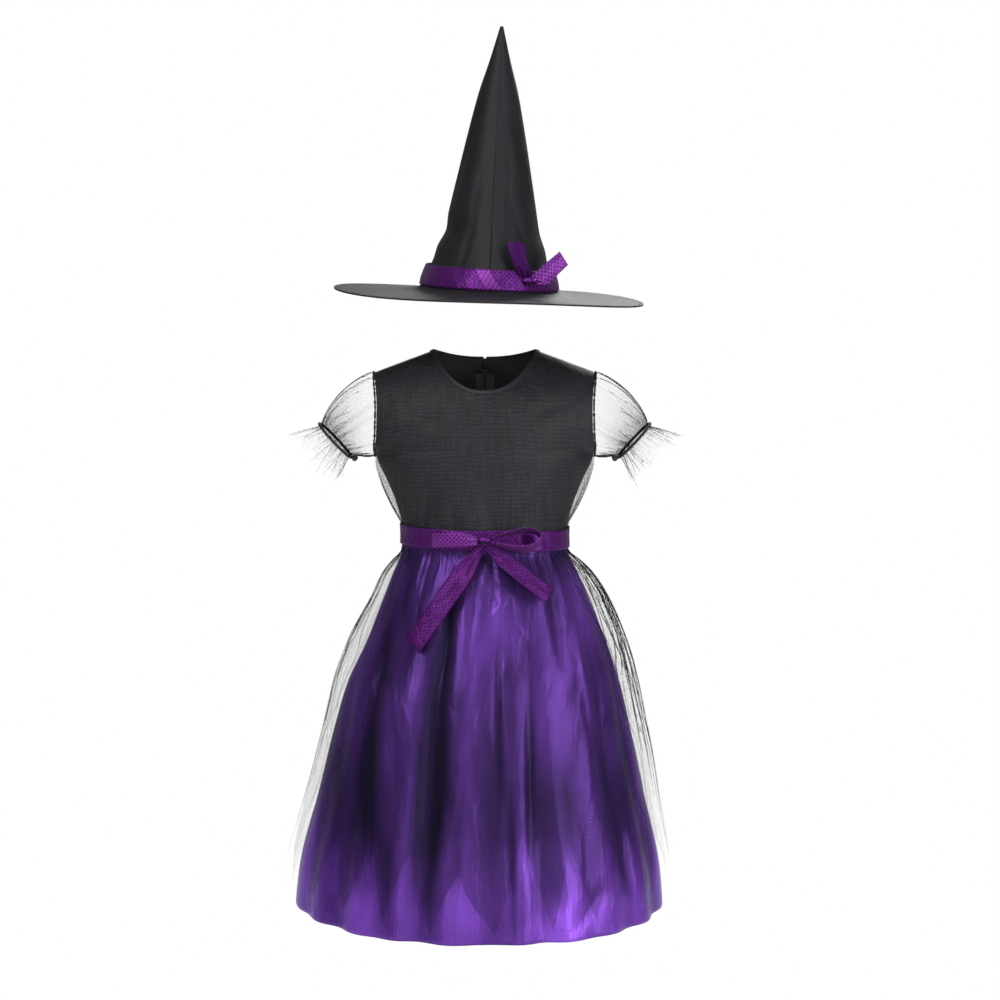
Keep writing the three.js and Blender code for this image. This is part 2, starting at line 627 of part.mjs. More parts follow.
// The halves of the skirts and of the belt meet edge to edge at the sides, and the skirts meet the bodice.
function halfSeam(normal, angle, row) {
  if (besideSeam(angle)) {
    normal.y = 0;
  }
  if (row >= SKIRT_LEVELS.length) {
    normal.z = 0;
  }
  return normal;
}

for (const [name, [from, to]] of Object.entries(HALVES)) {
  const columns = steps(from, to, skirtColumns);
  const panel = clothWall(satinSkirt, columns, skirtRows, -SATIN, 0, { seam: halfSeam });
  addPiece(`skirt_${name}`, panel, 'purpleSatin');
}

// Net overskirt: it lies on the satin in front, stands off at the sides and ends in points.

function netStand(angle, z) {
  const sine = Math.sin(degrees(angle));
  const side = along(NET_STAND, 'z', sine > 0 ? 'left' : 'right', z) * Math.abs(sine) ** 6;
  const facing = Math.cos(degrees(angle));
  const below = SKIRT_LEVELS.at(-1) - z;
  const front = facing * facing * (facing > 0 ? NET_STAND_FRONT : NET_STAND_BACK);
  return side * clamp(below / 10, 0, 1) + front * clamp(below / 100, 0, 1);
}

function netWave(angle, z) {
  const low = clamp((SKIRT_LEVELS.at(-1) - z) / 150, 0, 1);
  const side = 0.4 + 0.6 * Math.abs(Math.sin(degrees(angle)));
  const wave = 0.5 + 0.5 * Math.cos(degrees((angle - NET_POINT_TURN) * NET_POINTS));
  return NET_WAVE * low * side * wave;
}

// Its lowest row runs along the points, and the row above them stays level.
function netSkirt(angle, row) {
  const facing = Math.cos(degrees(angle));
  const tip = mix(NET_TIP_SIDE, NET_TIP_FRONT, facing * facing);
  const turn = (angle - NET_POINT_TURN) * NET_POINTS / 360;
  const notch = NET_NOTCH * (1 - Math.abs((turn - Math.floor(turn)) * 2 - 1));
  const levels = [tip + notch, tip + NET_NOTCH + 6, ...SKIRT_LEVELS.slice(2), WAIST - SEAM / 2];
  const z = levelAt(levels, row);
  return skirtRing(angle, z, netStand(angle, z) + netWave(angle, z));
}

const netColumns = NET_POINTS * 2;
const netRows = steps(0, SKIRT_LEVELS.length, SKIRT_LEVELS.length);
for (const [name, [from, to]] of Object.entries(HALVES)) {
  const columns = steps(from, to, netColumns);
  const panel = clothWall(netSkirt, columns, netRows, NET_IN, NET_OUT, { seam: halfSeam });
  addPiece(`net_skirt_${name}`, panel, 'blackNet');
}

// Puff sleeves: the angle runs round the arm from the top of the shoulder to the front, v from armhole to frill.

const cuffOut = new THREE.Vector2(Math.sin(degrees(CUFF.slope)), -Math.cos(degrees(CUFF.slope)));
const cuffUp = new THREE.Vector2(Math.cos(degrees(CUFF.slope)), Math.sin(degrees(CUFF.slope)));

function cuffPoint(hand, angle, wider) {
  const up = Math.cos(degrees(angle)) * (CUFF.tall + wider);
  const front = Math.sin(degrees(angle)) * (CUFF.deep + wider);
  return new THREE.Vector3(hand * (CUFF.x + cuffUp.x * up), -front, CUFF.z + cuffUp.y * up);
}

function armholePoint(hand, angle) {
  const z = mix(UNDERARM, SHOULDER_TIP, 0.5 + 0.5 * Math.cos(degrees(angle)));
  const seat = torso(Math.sin(degrees(angle)) >= 0 ? 90 - 1e-4 : 90 + 1e-4, z);
  return new THREE.Vector3(hand * (seat.x + NET_OUT + SEAM + 0.2), seat.y, z);
}

// v runs from 0 at the armhole to 1 at the cord, on to 2 past the cord, and to 3 at the frill's edge.
function sleeve(hand, angle, v) {
  const up = Math.cos(degrees(angle));
  const front = Math.sin(degrees(angle));
  const wave = 0.5 + 0.5 * Math.cos(degrees(angle * SLEEVE_GATHERS));
  const flare = v > 2 ? (v - 2) * (FRILL_FLARE + 2 * FRILL_WAVE * (wave - 0.5)) : 0;
  const out = mix(-CORD_GROOVE, CORD_GROOVE, clamp(v - 1, 0, 1)) + Math.max(0, v - 2) * FRILL_LENGTH;
  const cuff = cuffPoint(hand, angle, flare);
  cuff.x += hand * cuffOut.x * out;
  cuff.z += cuffOut.y * out;
  if (v >= 1) {
    return cuff;
  }
  const bulge = up > 0 ? mix(PUFF_SIDE, PUFF_TOP, up * up) : mix(PUFF_SIDE, PUFF_BOTTOM, up * up);
  const push = (bulge - SLEEVE_GATHER_DEPTH * wave) * Math.sin(Math.PI * clamp(v, 0, 1)) ** 0.7;
  const tilt = degrees(CUFF.slope) * v;
  const point = armholePoint(hand, angle).lerp(cuff, v);
  point.x += hand * Math.sin(tilt) * up * push;
  point.z += Math.cos(tilt) * up * push;
  point.y -= front * push;
  return point;
}

const sleeveColumns = steps(0, 360, SLEEVE_GATHERS * 4);
const sleeveHeights = [0, 0.15, 0.35, 0.6, 0.85, 1, 2, 2.35, 3];
for (const [name, hand] of [['left', 1], ['right', -1]]) {
  const columns = hand > 0 ? sleeveColumns : [...sleeveColumns].reverse();
  const seat = (angle, v) => sleeve(hand, angle, v);
  const net = clothWall(seat, columns, sleeveHeights, -NET, 0, { closed: true });
  addPiece(`sleeve_${name}`, net, 'blackNet');

  // The cord lies round the gathers, with its knot below.
  const away = SLEEVE_CORD / 2 + LAYER;
  const ring = new THREE.TorusGeometry(1, 0.1, 6, 24);
  const points = ring.attributes.position;
  for (let i = 0; i < points.count; i += 1) {
    const x = points.getX(i);
    const y = points.getY(i);
    const turn = THREE.MathUtils.radToDeg(Math.atan2(y, x));
    const fromMiddle = (Math.hypot(x, y) - 1) / 0.1 * SLEEVE_CORD / 2;
    const point = cuffPoint(hand, turn, away + fromMiddle);
    const beside = points.getZ(i) / 0.1 * SLEEVE_CORD / 2;
    points.setXYZ(i, point.x + cuffOut.x * beside, point.y, point.z + hand * cuffOut.y * beside);
  }
  const knotSeat = cuffPoint(hand, 165, away + SLEEVE_CORD_KNOT - SLEEVE_CORD / 2);
  const knot = new THREE.IcosahedronGeometry(SLEEVE_CORD_KNOT, 1);
  knot.translate(knotSeat.x, knotSeat.y, knotSeat.z);
  addPiece(`sleeve_cord_${name}`, joined(ring, knot), 'elastic');
}

// Ribbon belt over the waist seam, in two lengths that meet at the sides.

// The belt holds the cloths in straight, from the row above it to the row below it.
function waistband(angle, v) {
  const z = BELT_MIDDLE - BELT_RISE * Math.sin(degrees(angle)) + (v - 0.5) * RIBBON_WIDTH;
  const above = mix(WAIST, UNDERARM, bodiceHeights[1]);
  const below = SKIRT_LEVELS.at(-1);
  if (z > WAIST) {
    return torso(angle, WAIST).lerp(torso(angle, above), (z - WAIST) / (above - WAIST));
  }
  return skirtRing(angle, WAIST, 0).lerp(skirtRing(angle, below, 0), (WAIST - z) / (WAIST - below));
}

for (const [name, [from, to]] of Object.entries(HALVES)) {
  const band = clothWall(waistband, steps(from, to, 32), [0, 0.5, 1], TOP_IN, TOP_OUT, { seam: halfSeam });
  addPiece(`belt_${name}`, band, 'ribbon');
}

// Bow: a pinched knot, one loop pressed flat, one loop open, and two tails lying on the skirt.

function pinchedKnot(size) {
  const ball = new THREE.SphereGeometry(0.5, 12, 8);
  const points = ball.attributes.position;
  for (let i = 0; i < points.count; i += 1) {
    const x = points.getX(i);
    const y = points.getY(i);
    const z = points.getZ(i);
    const waist = 0.86 + 0.5 * x * x;
    points.setXYZ(i, x * size.wide, y * size.deep * waist, z * size.tall * waist);
  }
  return ball;
}

addPiece('bow_knot', pinchedKnot(BOW_KNOT).translate(BOW_KNOT.x, BOW_KNOT.y, BOW_KNOT.z), 'ribbon');

function ribbonLoop(rows, acrossLoop, run) {
  const at = (column) => along(rows, 'run', column, run);
  const reach = acrossLoop * at('half');
  const lean = degrees(at('lean'));
  return new THREE.Vector3(at('x'), at('y') - Math.sin(lean) * reach, at('z') + Math.cos(lean) * reach);
}

for (const [name, rows] of [['right', FLAT_LOOP], ['left', OPEN_LOOP]]) {
  const route = steps(0, rows.length - 1, (rows.length - 1) * 2);
  const loop = clothWall((run, v) => ribbonLoop(rows, v, run), route, [-1, 0, 1], 0, RIBBON);
  addPiece(`bow_loop_${name}`, loop, 'ribbon');
}

function netFront(x, z) {
  const half = along(SKIRT_RINGS, 'z', 'half', z) + 12;
  const deep = along(SKIRT_RINGS, 'z', 'front', z) + NET_STAND_FRONT + NET_WAVE;
  return -deep * (1 - clamp(Math.abs(x) / half, 0, 1) ** BODY_SQUARE) ** (1 / BODY_SQUARE);
}

function tailPoint(tail, v, run) {
  const line = new THREE.Vector2(tail.toX - tail.fromX, tail.toZ - tail.fromZ);
  const square = new THREE.Vector2(-line.y, line.x).normalize();
  const half = tail.half * mix(TAIL_PINCH, 1, clamp(run * 4, 0, 1));
  const x = mix(tail.fromX, tail.toX, run) + square.x * v * half;
  const z = mix(tail.fromZ, tail.toZ, run) + square.y * v * half;
  const off = mix(tail.top, tail.end, run) + tail.bow * Math.sin(Math.PI * run);
  return new THREE.Vector3(x, netFront(x, z) - off, z);
}

for (const [name, tail] of Object.entries(TAILS)) {
  const strip = clothWall((v, run) => tailPoint(tail, v, 1 - run), [-1, 0, 1], steps(0, 1, 9), 0, RIBBON);
  addPiece(`bow_tail_${name}`, strip, 'ribbon');
}

// Hat: two crown panels sewn at the centre front and back, on a wide brim that flares up to meet them.

function crown(angle, h) {
  const sine = Math.sin(degrees(angle));
  const facing = Math.cos(degrees(angle));
  let dent = 0;
  for (const { at, h: high, depth, spread, tall } of CROWN_DENTS) {
    const turn = Math.abs(((angle - at + 540) % 360) - 180) / spread;
    const rise = (h - high) / tall;
    dent += depth * Math.exp(-turn * turn - rise * rise);
  }
  const half = along(CROWN_RINGS, 'h', 'half', h) - dent;
  const deep = along(CROWN_RINGS, 'h', 'deep', h) - dent;
  return new THREE.Vector3(sine * half, -facing * deep, h);
}

const crownHeights = [CROWN_START, 14, 28.5, 45, 61.5, 80.5, 123.5, 171.5, 214.5, 249.5, 286.5];
function crownSeam(normal, angle) {
  if (Math.abs(Math.sin(degrees(angle))) < 1e-3) {
    normal.x = 0;
  }
  return normal;
}

for (const [name, hand] of [['left', 1], ['right', -1]]) {
  const columns = hand > 0 ? steps(0, 180, 14) : steps(180, 360, 14);
  const seat = (angle, h) => crown(angle, h).add(new THREE.Vector3(hand * SEAM / 2, 0, 0));
  const panel = clothWall(seat, columns, crownHeights, -SATIN, 0, { seam: crownSeam });
  addPiece(`hat_crown_${name}`, panel, 'blackSatin', hat);
}

// The brim: v runs from 0 at its outer edge to 1 at the crown.
function brim(angle, v) {
  const sine = Math.sin(degrees(angle));
  const facing = Math.cos(degrees(angle));
  const x = sine * mix(BRIM.half, CROWN_RINGS[0].half - 1, v);
  const y = -facing * mix(BRIM.deep, CROWN_RINGS[0].deep - 1, v);
  const outward = (BRIM.half - CROWN_RINGS[0].half) * (1 - v);
  const wave = BRIM.wave * (1 - v) * Math.sin(degrees(angle * BRIM.waves + 40));
  const rise = BRIM.rise * (1 - Math.exp(-outward / BRIM.flare));
  return new THREE.Vector3(x, y, wave - rise - BRIM.drop * (1 - v));
}

const brimWall = clothWall(brim, steps(0, 360, 40), [0, 0.5, 0.88, 1], -BRIM.wall, 0, { closed: true });
addPiece('hat_brim', brimWall, 'blackSatin', hat);

// Ribbon band, loose at its upper edge, with its knot and two free ends at the wearer's left front.
function hatBand(angle, v) {
  const h = mix(BAND.low, BAND.high, v);
  const seat = crown(angle, h);
  const loose = BAND.loose * v + BAND.bulge * Math.sin(Math.PI * v);
  const out = new THREE.Vector2(seat.x, seat.y).normalize().multiplyScalar(loose);
  return new THREE.Vector3(seat.x + out.x, seat.y + out.y, h);
}

const band = clothWall(hatBand, steps(0, 360, 36), [0, 1], BAND.inner, BAND.inner + RIBBON, { closed: true });
addPiece('hat_band', band, 'ribbon', hat);

const knotTurn = THREE.MathUtils.radToDeg(Math.asin(HAT_KNOT.x / CROWN_RINGS[1].half));
const knotY = hatBand(knotTurn, 0.5).y - HAT_KNOT.deep / 2 - HAT_KNOT.off;
addPiece('hat_knot', pinchedKnot(HAT_KNOT).translate(HAT_KNOT.x, knotY, HAT_KNOT.h), 'ribbon', hat);

function hatTail(rows, v, run) {
  const at = (column) => along(rows, 'run', column, run);
  const turn = degrees(at('turn'));
  const reach = at('half') * v;
  const y = knotY + at('behind');
  return new THREE.Vector3(at('x') + Math.cos(turn) * reach, y, at('h') - Math.sin(turn) * reach);
}

for (const [name, rows] of Object.entries(HAT_TAILS)) {
  const strip = clothWall((v, run) => hatTail(rows, v, run), [-1, 0, 1], steps(0, 3, 8), 0, RIBBON);
  addPiece(`hat_tail_${name}`, strip, 'ribbon', hat);
}

export default costume;
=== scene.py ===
"""Witch costume: black bodice under net, net puff sleeves, purple satin skirt under a pointed net overskirt,
dotted ribbon belt with a bow, and a tall pointed hat. Sizes are in millimetres, and the room's in metres."""
import math
import bpy
import numpy as np
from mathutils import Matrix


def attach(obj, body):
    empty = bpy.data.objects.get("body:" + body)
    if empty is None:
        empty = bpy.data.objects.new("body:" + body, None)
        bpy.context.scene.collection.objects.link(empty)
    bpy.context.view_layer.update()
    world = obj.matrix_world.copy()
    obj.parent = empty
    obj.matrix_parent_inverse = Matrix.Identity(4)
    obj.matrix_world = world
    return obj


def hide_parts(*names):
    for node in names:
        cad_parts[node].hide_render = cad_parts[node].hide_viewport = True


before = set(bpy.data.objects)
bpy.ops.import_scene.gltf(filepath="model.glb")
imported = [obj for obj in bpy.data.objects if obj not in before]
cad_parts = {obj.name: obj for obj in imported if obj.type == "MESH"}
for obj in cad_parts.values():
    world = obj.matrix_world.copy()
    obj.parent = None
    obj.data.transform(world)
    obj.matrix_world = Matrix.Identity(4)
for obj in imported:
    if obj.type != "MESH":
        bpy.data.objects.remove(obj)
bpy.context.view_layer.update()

# Room: a pale floor well below the hem, white walls all round, five soft lamps, and the camera, which stands
# in front of the costume at the height of the hat's brim and looks a little down. Sizes here are in metres.
CAMERA = {"place": (0.017, -2.7, 0.0794), "down": 5.0, "lens": 87.12, "sensor": 36.0}
FLOOR_Z = -0.92
WALL_LIGHT = 0.16
LAMPS_AIM = (0, 0, -0.25)
LAMPS = [
    {"name": "key", "place": (-1.3, -2.2, 1.5), "size": (0.9, 0.9), "watts": 46},
    {"name": "strip", "place": (1.5, -1.5, 0.2), "size": (0.35, 1.4), "watts": 26},
    {"name": "top", "place": (0.2, -0.9, 2.1), "size": (0.8, 0.6), "watts": 26},
    {"name": "front", "place": (0.1, -3.3, 0.35), "size": (1.2, 1.2), "watts": 15},
    {"name": "back", "place": (0.6, 2.2, 1.5), "size": (1.4, 1.4), "watts": 40},
]
scene = bpy.context.scene
scene.view_settings.view_transform = "Standard"


def white_to_camera(tree, shaded, output):
    """Plain white where the camera looks straight at it, and the shaded surface for all other light."""
    white = tree.nodes.new("ShaderNodeEmission")
    ray = tree.nodes.new("ShaderNodeLightPath")
    shown = tree.nodes.new("ShaderNodeMixShader")
    tree.links.new(ray.outputs["Is Camera Ray"], shown.inputs[0])
    tree.links.new(shaded.outputs[0], shown.inputs[1])
    tree.links.new(white.outputs[0], shown.inputs[2])
    tree.links.new(shown.outputs[0], tree.nodes[output].inputs["Surface"])


bpy.ops.mesh.primitive_plane_add(size=40, location=(0, 0, FLOOR_Z))
floor = bpy.context.object
floor.name = "floor"
paper = bpy.data.materials.new("floor_white")
paper.use_nodes = True
shaded = paper.node_tree.nodes["Principled BSDF"]
shaded.inputs["Base Color"].default_value = (0.85, 0.85, 0.85, 1)
shaded.inputs["Roughness"].default_value = 0.9
white_to_camera(paper.node_tree, shaded, "Material Output")
floor.data.materials.append(paper)

scene.world = bpy.data.worlds.new("studio")
scene.world.use_nodes = True
walls = scene.world.node_tree.nodes["Background"]
walls.inputs["Color"].default_value = (1, 1, 1, 1)
walls.inputs["Strength"].default_value = WALL_LIGHT
white_to_camera(scene.world.node_tree, walls, "World Output")

for lamp in LAMPS:
    light = bpy.data.lights.new(lamp["name"], "AREA")
    light.shape = "RECTANGLE"
    light.size, light.size_y = lamp["size"]
    light.energy = lamp["watts"]
    holder = bpy.data.objects.new(lamp["name"], light)
    scene.collection.objects.link(holder)
    holder.location = lamp["place"]
    aim = np.array(LAMPS_AIM) - np.array(lamp["place"])
    turn_z = math.atan2(aim[1], aim[0]) - math.pi / 2
    turn_x = math.atan2(aim[2], math.hypot(aim[0], aim[1])) + math.pi / 2
    holder.rotation_euler = (turn_x, 0, turn_z)

camera_data = bpy.data.cameras.new("camera")
camera_data.lens = CAMERA["lens"]
camera_data.sensor_width = CAMERA["sensor"]
camera = bpy.data.objects.new("camera", camera_data)
camera.location = CAMERA["place"]
camera.rotation_euler = (math.radians(90 - CAMERA["down"]), 0, 0)
scene.collection.objects.link(camera)
scene.camera = camera

# Bodice: front and two backs of thin black satin, cut for the worn form and sewn at the shoulders, the sides
# and the waist. Each is a shell on its solid's form with soft pulls in it.
MM = 0.001
SATIN_SHELL = 0.5
WAIST, UNDERARM, SHOULDER_TIP, NECK_POINT = -196.0, -107.0, -14.0, 10.5
SHOULDER_HALF, NECK_HALF = 122.0, 56.5
NECK_LOW = {"front": -32.0, "back": 1.3}
NECK_FULLNESS = 2.4
BODY_SQUARE = 2.3
SHOULDER_ROLL = 75.0
ROLL_FULLNESS = 2.2
ARMHOLE_WIDEST = -60.0
ARMHOLE_DEPTH = {"front": 42.0, "back": 40.0}
BODY_OVAL = (110, 70)


def table(names, *rows):
    """A short table as a dict of columns, sorted by its first one."""
    return dict(zip(names.split(), np.array(sorted(rows), float).T))


BODICE_RINGS = table(
    "z half front back",
    (WAIST, 92.5, 71, 60),
    (-184, 92.5, 71, 60),
    (-157, 99.7, 71, 61),
    (-133, 109.5, 72, 63),
    (UNDERARM, 121, 72, 65),
    (-80, 119.5, 70, 66),
    (-45, 119, 64, 64),
    (-14, SHOULDER_HALF, 58, 59),
    (11, SHOULDER_HALF, 54, 55),
)


def along(rows, column, at):
    """A smooth curve through one column of a table, over its first column."""
    key = next(iter(rows.values()))
    value = rows[column]
    last = len(key) - 1
    place = np.arange(last + 1)
    low, high = np.maximum(place - 1, 0), np.minimum(place + 1, last)
    slope = (value[high] - value[low]) / (key[high] - key[low])
    at = np.asarray(at, float)
    k = np.clip(np.searchsorted(key, at, side="right") - 1, 0, last - 1)
    span = key[k + 1] - key[k]
    t = np.clip((at - key[k]) / span, 0, 1)
    bend = t * t * (3 - 2 * t)
    leave = t * (1 - t) ** 2 * span * slope[k]
    arrive = t * t * (t - 1) * span * slope[k + 1]
    return value[k] + (value[k + 1] - value[k]) * bend + leave + arrive


def mix(a, b, t):
    return a + (b - a) * t


def shoulder_height(x):
    slope = (SHOULDER_TIP - NECK_POINT) / (SHOULDER_HALF - NECK_HALF)
    wide = np.abs(x)
    inner = NECK_POINT + (wide * wide - NECK_HALF ** 2) * slope / NECK_HALF / 2
    return np.where(wide >= NECK_HALF, NECK_POINT + (wide - NECK_HALF) * slope, inner)


def torso_at(back, x, z):
    """The torso's outer face at a width and height, on its front or its back."""
    reach = np.clip(np.abs(x) / along(BODICE_RINGS, "half", z), 0, 1)
    deepest = np.where(back, ARMHOLE_DEPTH["back"], ARMHOLE_DEPTH["front"])
    below = np.clip((ARMHOLE_WIDEST - z) / (ARMHOLE_WIDEST - UNDERARM), 0, 1)
    eased = np.clip((1 - below) / 0.3, 0, 1)
    rim = deepest * np.sqrt(1 - below ** 2) * eased ** 2 * (3 - 2 * eased)
    flat = 1 - reach ** BODY_SQUARE
    full = flat ** (1 / BODY_SQUARE)
    middle = np.where(back, along(BODICE_RINGS, "back", z), along(BODICE_RINGS, "front", z))
    across = rim + (middle - rim) * mix(full, flat, rim / deepest)
    over = 1 - np.clip((shoulder_height(x) - z) / SHOULDER_ROLL, 0, 1)
    depth = across * np.sqrt(1 - over ** ROLL_FULLNESS)
    return np.stack([x, np.where(back, depth, -depth), z], axis=-1)


def sine(angle):
    return np.sin(np.radians(angle))


def cosine(angle):
    return np.cos(np.radians(angle))


def width_at(angle, half, square=BODY_SQUARE):
    return np.sign(sine(angle)) * np.abs(sine(angle)) ** (2 / square) * half


def torso(angle, z):
    return torso_at(cosine(angle) < 0, width_at(angle, along(BODICE_RINGS, "half", z)), z)


def bodice(angle, v):
    """v runs from 0 at the waist through 1 at the underarm to 2 at the upper edge."""
    x = width_at(angle, SHOULDER_HALF)
    inward = np.minimum(np.abs(x) / NECK_HALF, 1)
    low = np.where(cosine(angle) < 0, NECK_LOW["back"], NECK_LOW["front"])
    top = np.where(inward >= 1, shoulder_height(x), mix(low, NECK_POINT, inward ** NECK_FULLNESS))
    above = mix(UNDERARM, top, 0.5 - 0.5 * np.cos(np.pi * np.clip(v - 1, 0, 1)))
    return torso(angle, np.where(v <= 1, mix(WAIST, UNDERARM, v), above))


def outward(x, y):
    """The level direction square to an oval body, as x and y."""
    out = np.stack([x / BODY_OVAL[0], y / BODY_OVAL[1]], axis=-1)
    return out / np.maximum(np.linalg.norm(out, axis=-1, keepdims=True), 1e-6)


def creases(rows, x, z):
    """How deep the cloth lies below its form: soft troughs (+) and ridges (-) along straight lines."""
    depth = np.zeros(np.broadcast(x, z).shape)
    for x0, z0, x1, z1, deep, half in rows:
        run = (x1 - x0) ** 2 + (z1 - z0) ** 2
        t = np.clip(((x - x0) * (x1 - x0) + (z - z0) * (z1 - z0)) / run, 0, 1)
        off = np.hypot(x - x0 - t * (x1 - x0), z - z0 - t * (z1 - z0)) / half
        depth += deep * np.exp(-off * off) * (0.25 + 0.75 * np.sin(np.pi * t))
    return depth


class Tone:
    """A shader value that takes part in sums like a number."""

    def __init__(self, look, socket):
        self.look = look
        self.socket = socket

    def maths(self, kind, *others):
        node = self.look.tree.nodes.new("ShaderNodeMath")
        node.operation = kind
        for slot, value in zip(node.inputs, others):
            self.look.feed(slot, value)
        return Tone(self.look, node.outputs[0])

    def __add__(self, other):
        return self.maths("ADD", self, other)

    def __sub__(self, other):
        return self.maths("SUBTRACT", self, other)

    def __rsub__(self, other):
        return self.maths("SUBTRACT", other, self)

    def __mul__(self, other):
        return self.maths("MULTIPLY", self, other)

    def __truediv__(self, other):
        return self.maths("DIVIDE", self, other)

    def __lt__(self, other):
        return self.maths("LESS_THAN", self, other)

    __radd__ = __add__
    __rmul__ = __mul__

    def absolute(self):
        return self.maths("ABSOLUTE", self)

    def floor(self):
        return self.maths("FLOOR", self)

    def fraction(self):
        return self.maths("FRACT", self)

    def wave(self):
        return self.maths("SINE", self)

    def most(self, other):
        return self.maths("MAXIMUM", self, other)

    def within(self):
        return self.maths("MINIMUM", self.maths("MAXIMUM", self, 0.0), 1.0)


class Look:
    """A material under construction."""

    def __init__(self, name):
        self.material = bpy.data.materials.new(name)
        self.material.use_nodes = True
        self.tree = self.material.node_tree
        self.tree.nodes.clear()

    def feed(self, slot, value):
        if isinstance(value, Tone):
            self.tree.links.new(value.socket, slot)
        else:
            slot.default_value = value

    def node(self, kind, settings=None, inputs=None, out=0):
        node = self.tree.nodes.new("ShaderNode" + kind)
        for name, value in (settings or {}).items():
            setattr(node, name, value)
        for name, value in (inputs or {}).items():
            self.feed(node.inputs[name], value)
        return Tone(self, node.outputs[out])

    def cloth_place(self):
        """Millimetres across and along the cloth, from its UV map."""
        uv = self.node("UVMap", {"uv_map": "cloth"})
        parts = self.tree.nodes.new("ShaderNodeSeparateXYZ")
        self.feed(parts.inputs[0], uv)
        return Tone(self, parts.outputs[0]) / MM, Tone(self, parts.outputs[1]) / MM

    def noise(self, across, along_cloth, detail=3.0):
        """Noise over the cloth whose grains are so many millimetres wide and long."""
        u, v = self.cloth_place()
        place = self.node("CombineXYZ", inputs={0: u / across, 1: v / along_cloth})
        inputs = {"Vector": place, "Scale": 1.0, "Detail": detail, "Roughness": 0.5}
        return self.node("TexNoise", {"noise_dimensions": "2D"}, inputs)

    def colours(self, dark, light, factor):
        """A blend from one colour to another; the first may be a colour that is already mixed."""
        first = dark if isinstance(dark, Tone) else (*dark, 1)
        return self.node("Mix", {"data_type": "RGBA"}, {0: factor, 6: first, 7: (*light, 1)}, out=2)

    def bump(self, height, distance_mm, strength=1.0, under=None):
        inputs = {"Height": height, "Distance": distance_mm * MM, "Strength": strength}
        if under:
            inputs["Normal"] = under
        return self.node("Bump", inputs=inputs)

    def finish(self, inputs):
        surface = self.node("BsdfPrincipled", inputs=inputs)
        output = self.tree.nodes.new("ShaderNodeOutputMaterial")
        self.tree.links.new(surface.socket, output.inputs["Surface"])
        return self.material


def satin(name, dark, light, roughness, metallic, wrinkle, gloss=0.5, shadow=0.0):
    """Satin: a fine weave with floats along the cloth, faint streaks, and shallow wrinkles. Its colour is
    darkened by the piece's per-point value times shadow, as painted shade in folds and hollows, and lightened
    where that value is below 0, as painted light.
    """
    look = Look(name)
    u, v = look.cloth_place()
    streaks = look.noise(0.9, 40.0)
    clouds = look.noise(52.0, 120.0, 2.0)
    grain = look.noise(1.1, 1.6, 1.0)
    folds_and_painted_shade = look.node("Attribute", {"attribute_name": "thread_density_and_painted_shade"}, out=2)
    # Painted shade: the colour darkens with the per-point value times shadow, and lightens as painted light
    # where that value is below 0.
    shade = ((streaks * 0.2 + clouds * 0.9 + grain * 0.4 - 0.3) * (1 - folds_and_painted_shade * shadow)).within()
    twill = ((u + v * 0.5) * (2 * math.pi / 0.45)).wave()
    wrinkles = look.noise(26.0, 80.0, 3.0)
    relief = look.bump(wrinkles, wrinkle)
    relief = look.bump(grain, 0.05, 0.6, relief)
    relief = look.bump(twill, 0.02, 0.5, relief)
    return look.finish({
        "Base Color": look.colours(dark, light, shade),
        "Roughness": roughness - 0.03 + streaks * 0.06,
        "Metallic": metallic,
        "Specular IOR Level": gloss,
        "Sheen Weight": 0.02,
        "Sheen Roughness": 0.4,
        "Normal": relief,
    })


def made(name, points, faces, uv, material, slot, nodes=()):
    """A smooth mesh from points in millimetres, with its cloth UV map in metres, riding with the costume."""
    mesh = bpy.data.meshes.new(name)
    mesh.from_pydata((np.reshape(points, (-1, 3)) * MM).tolist(), [], faces)
    mesh.uv_layers.new(name="cloth").data.foreach_set("uv", np.asarray(uv, float).ravel())
    mesh.polygons.foreach_set("use_smooth", [True] * len(faces))
    mesh.materials.append(material)
    piece = bpy.data.objects.new(name, mesh)
    scene.collection.objects.link(piece)
    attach(piece, "costume")
    if nodes:
        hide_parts(*nodes)
    return piece


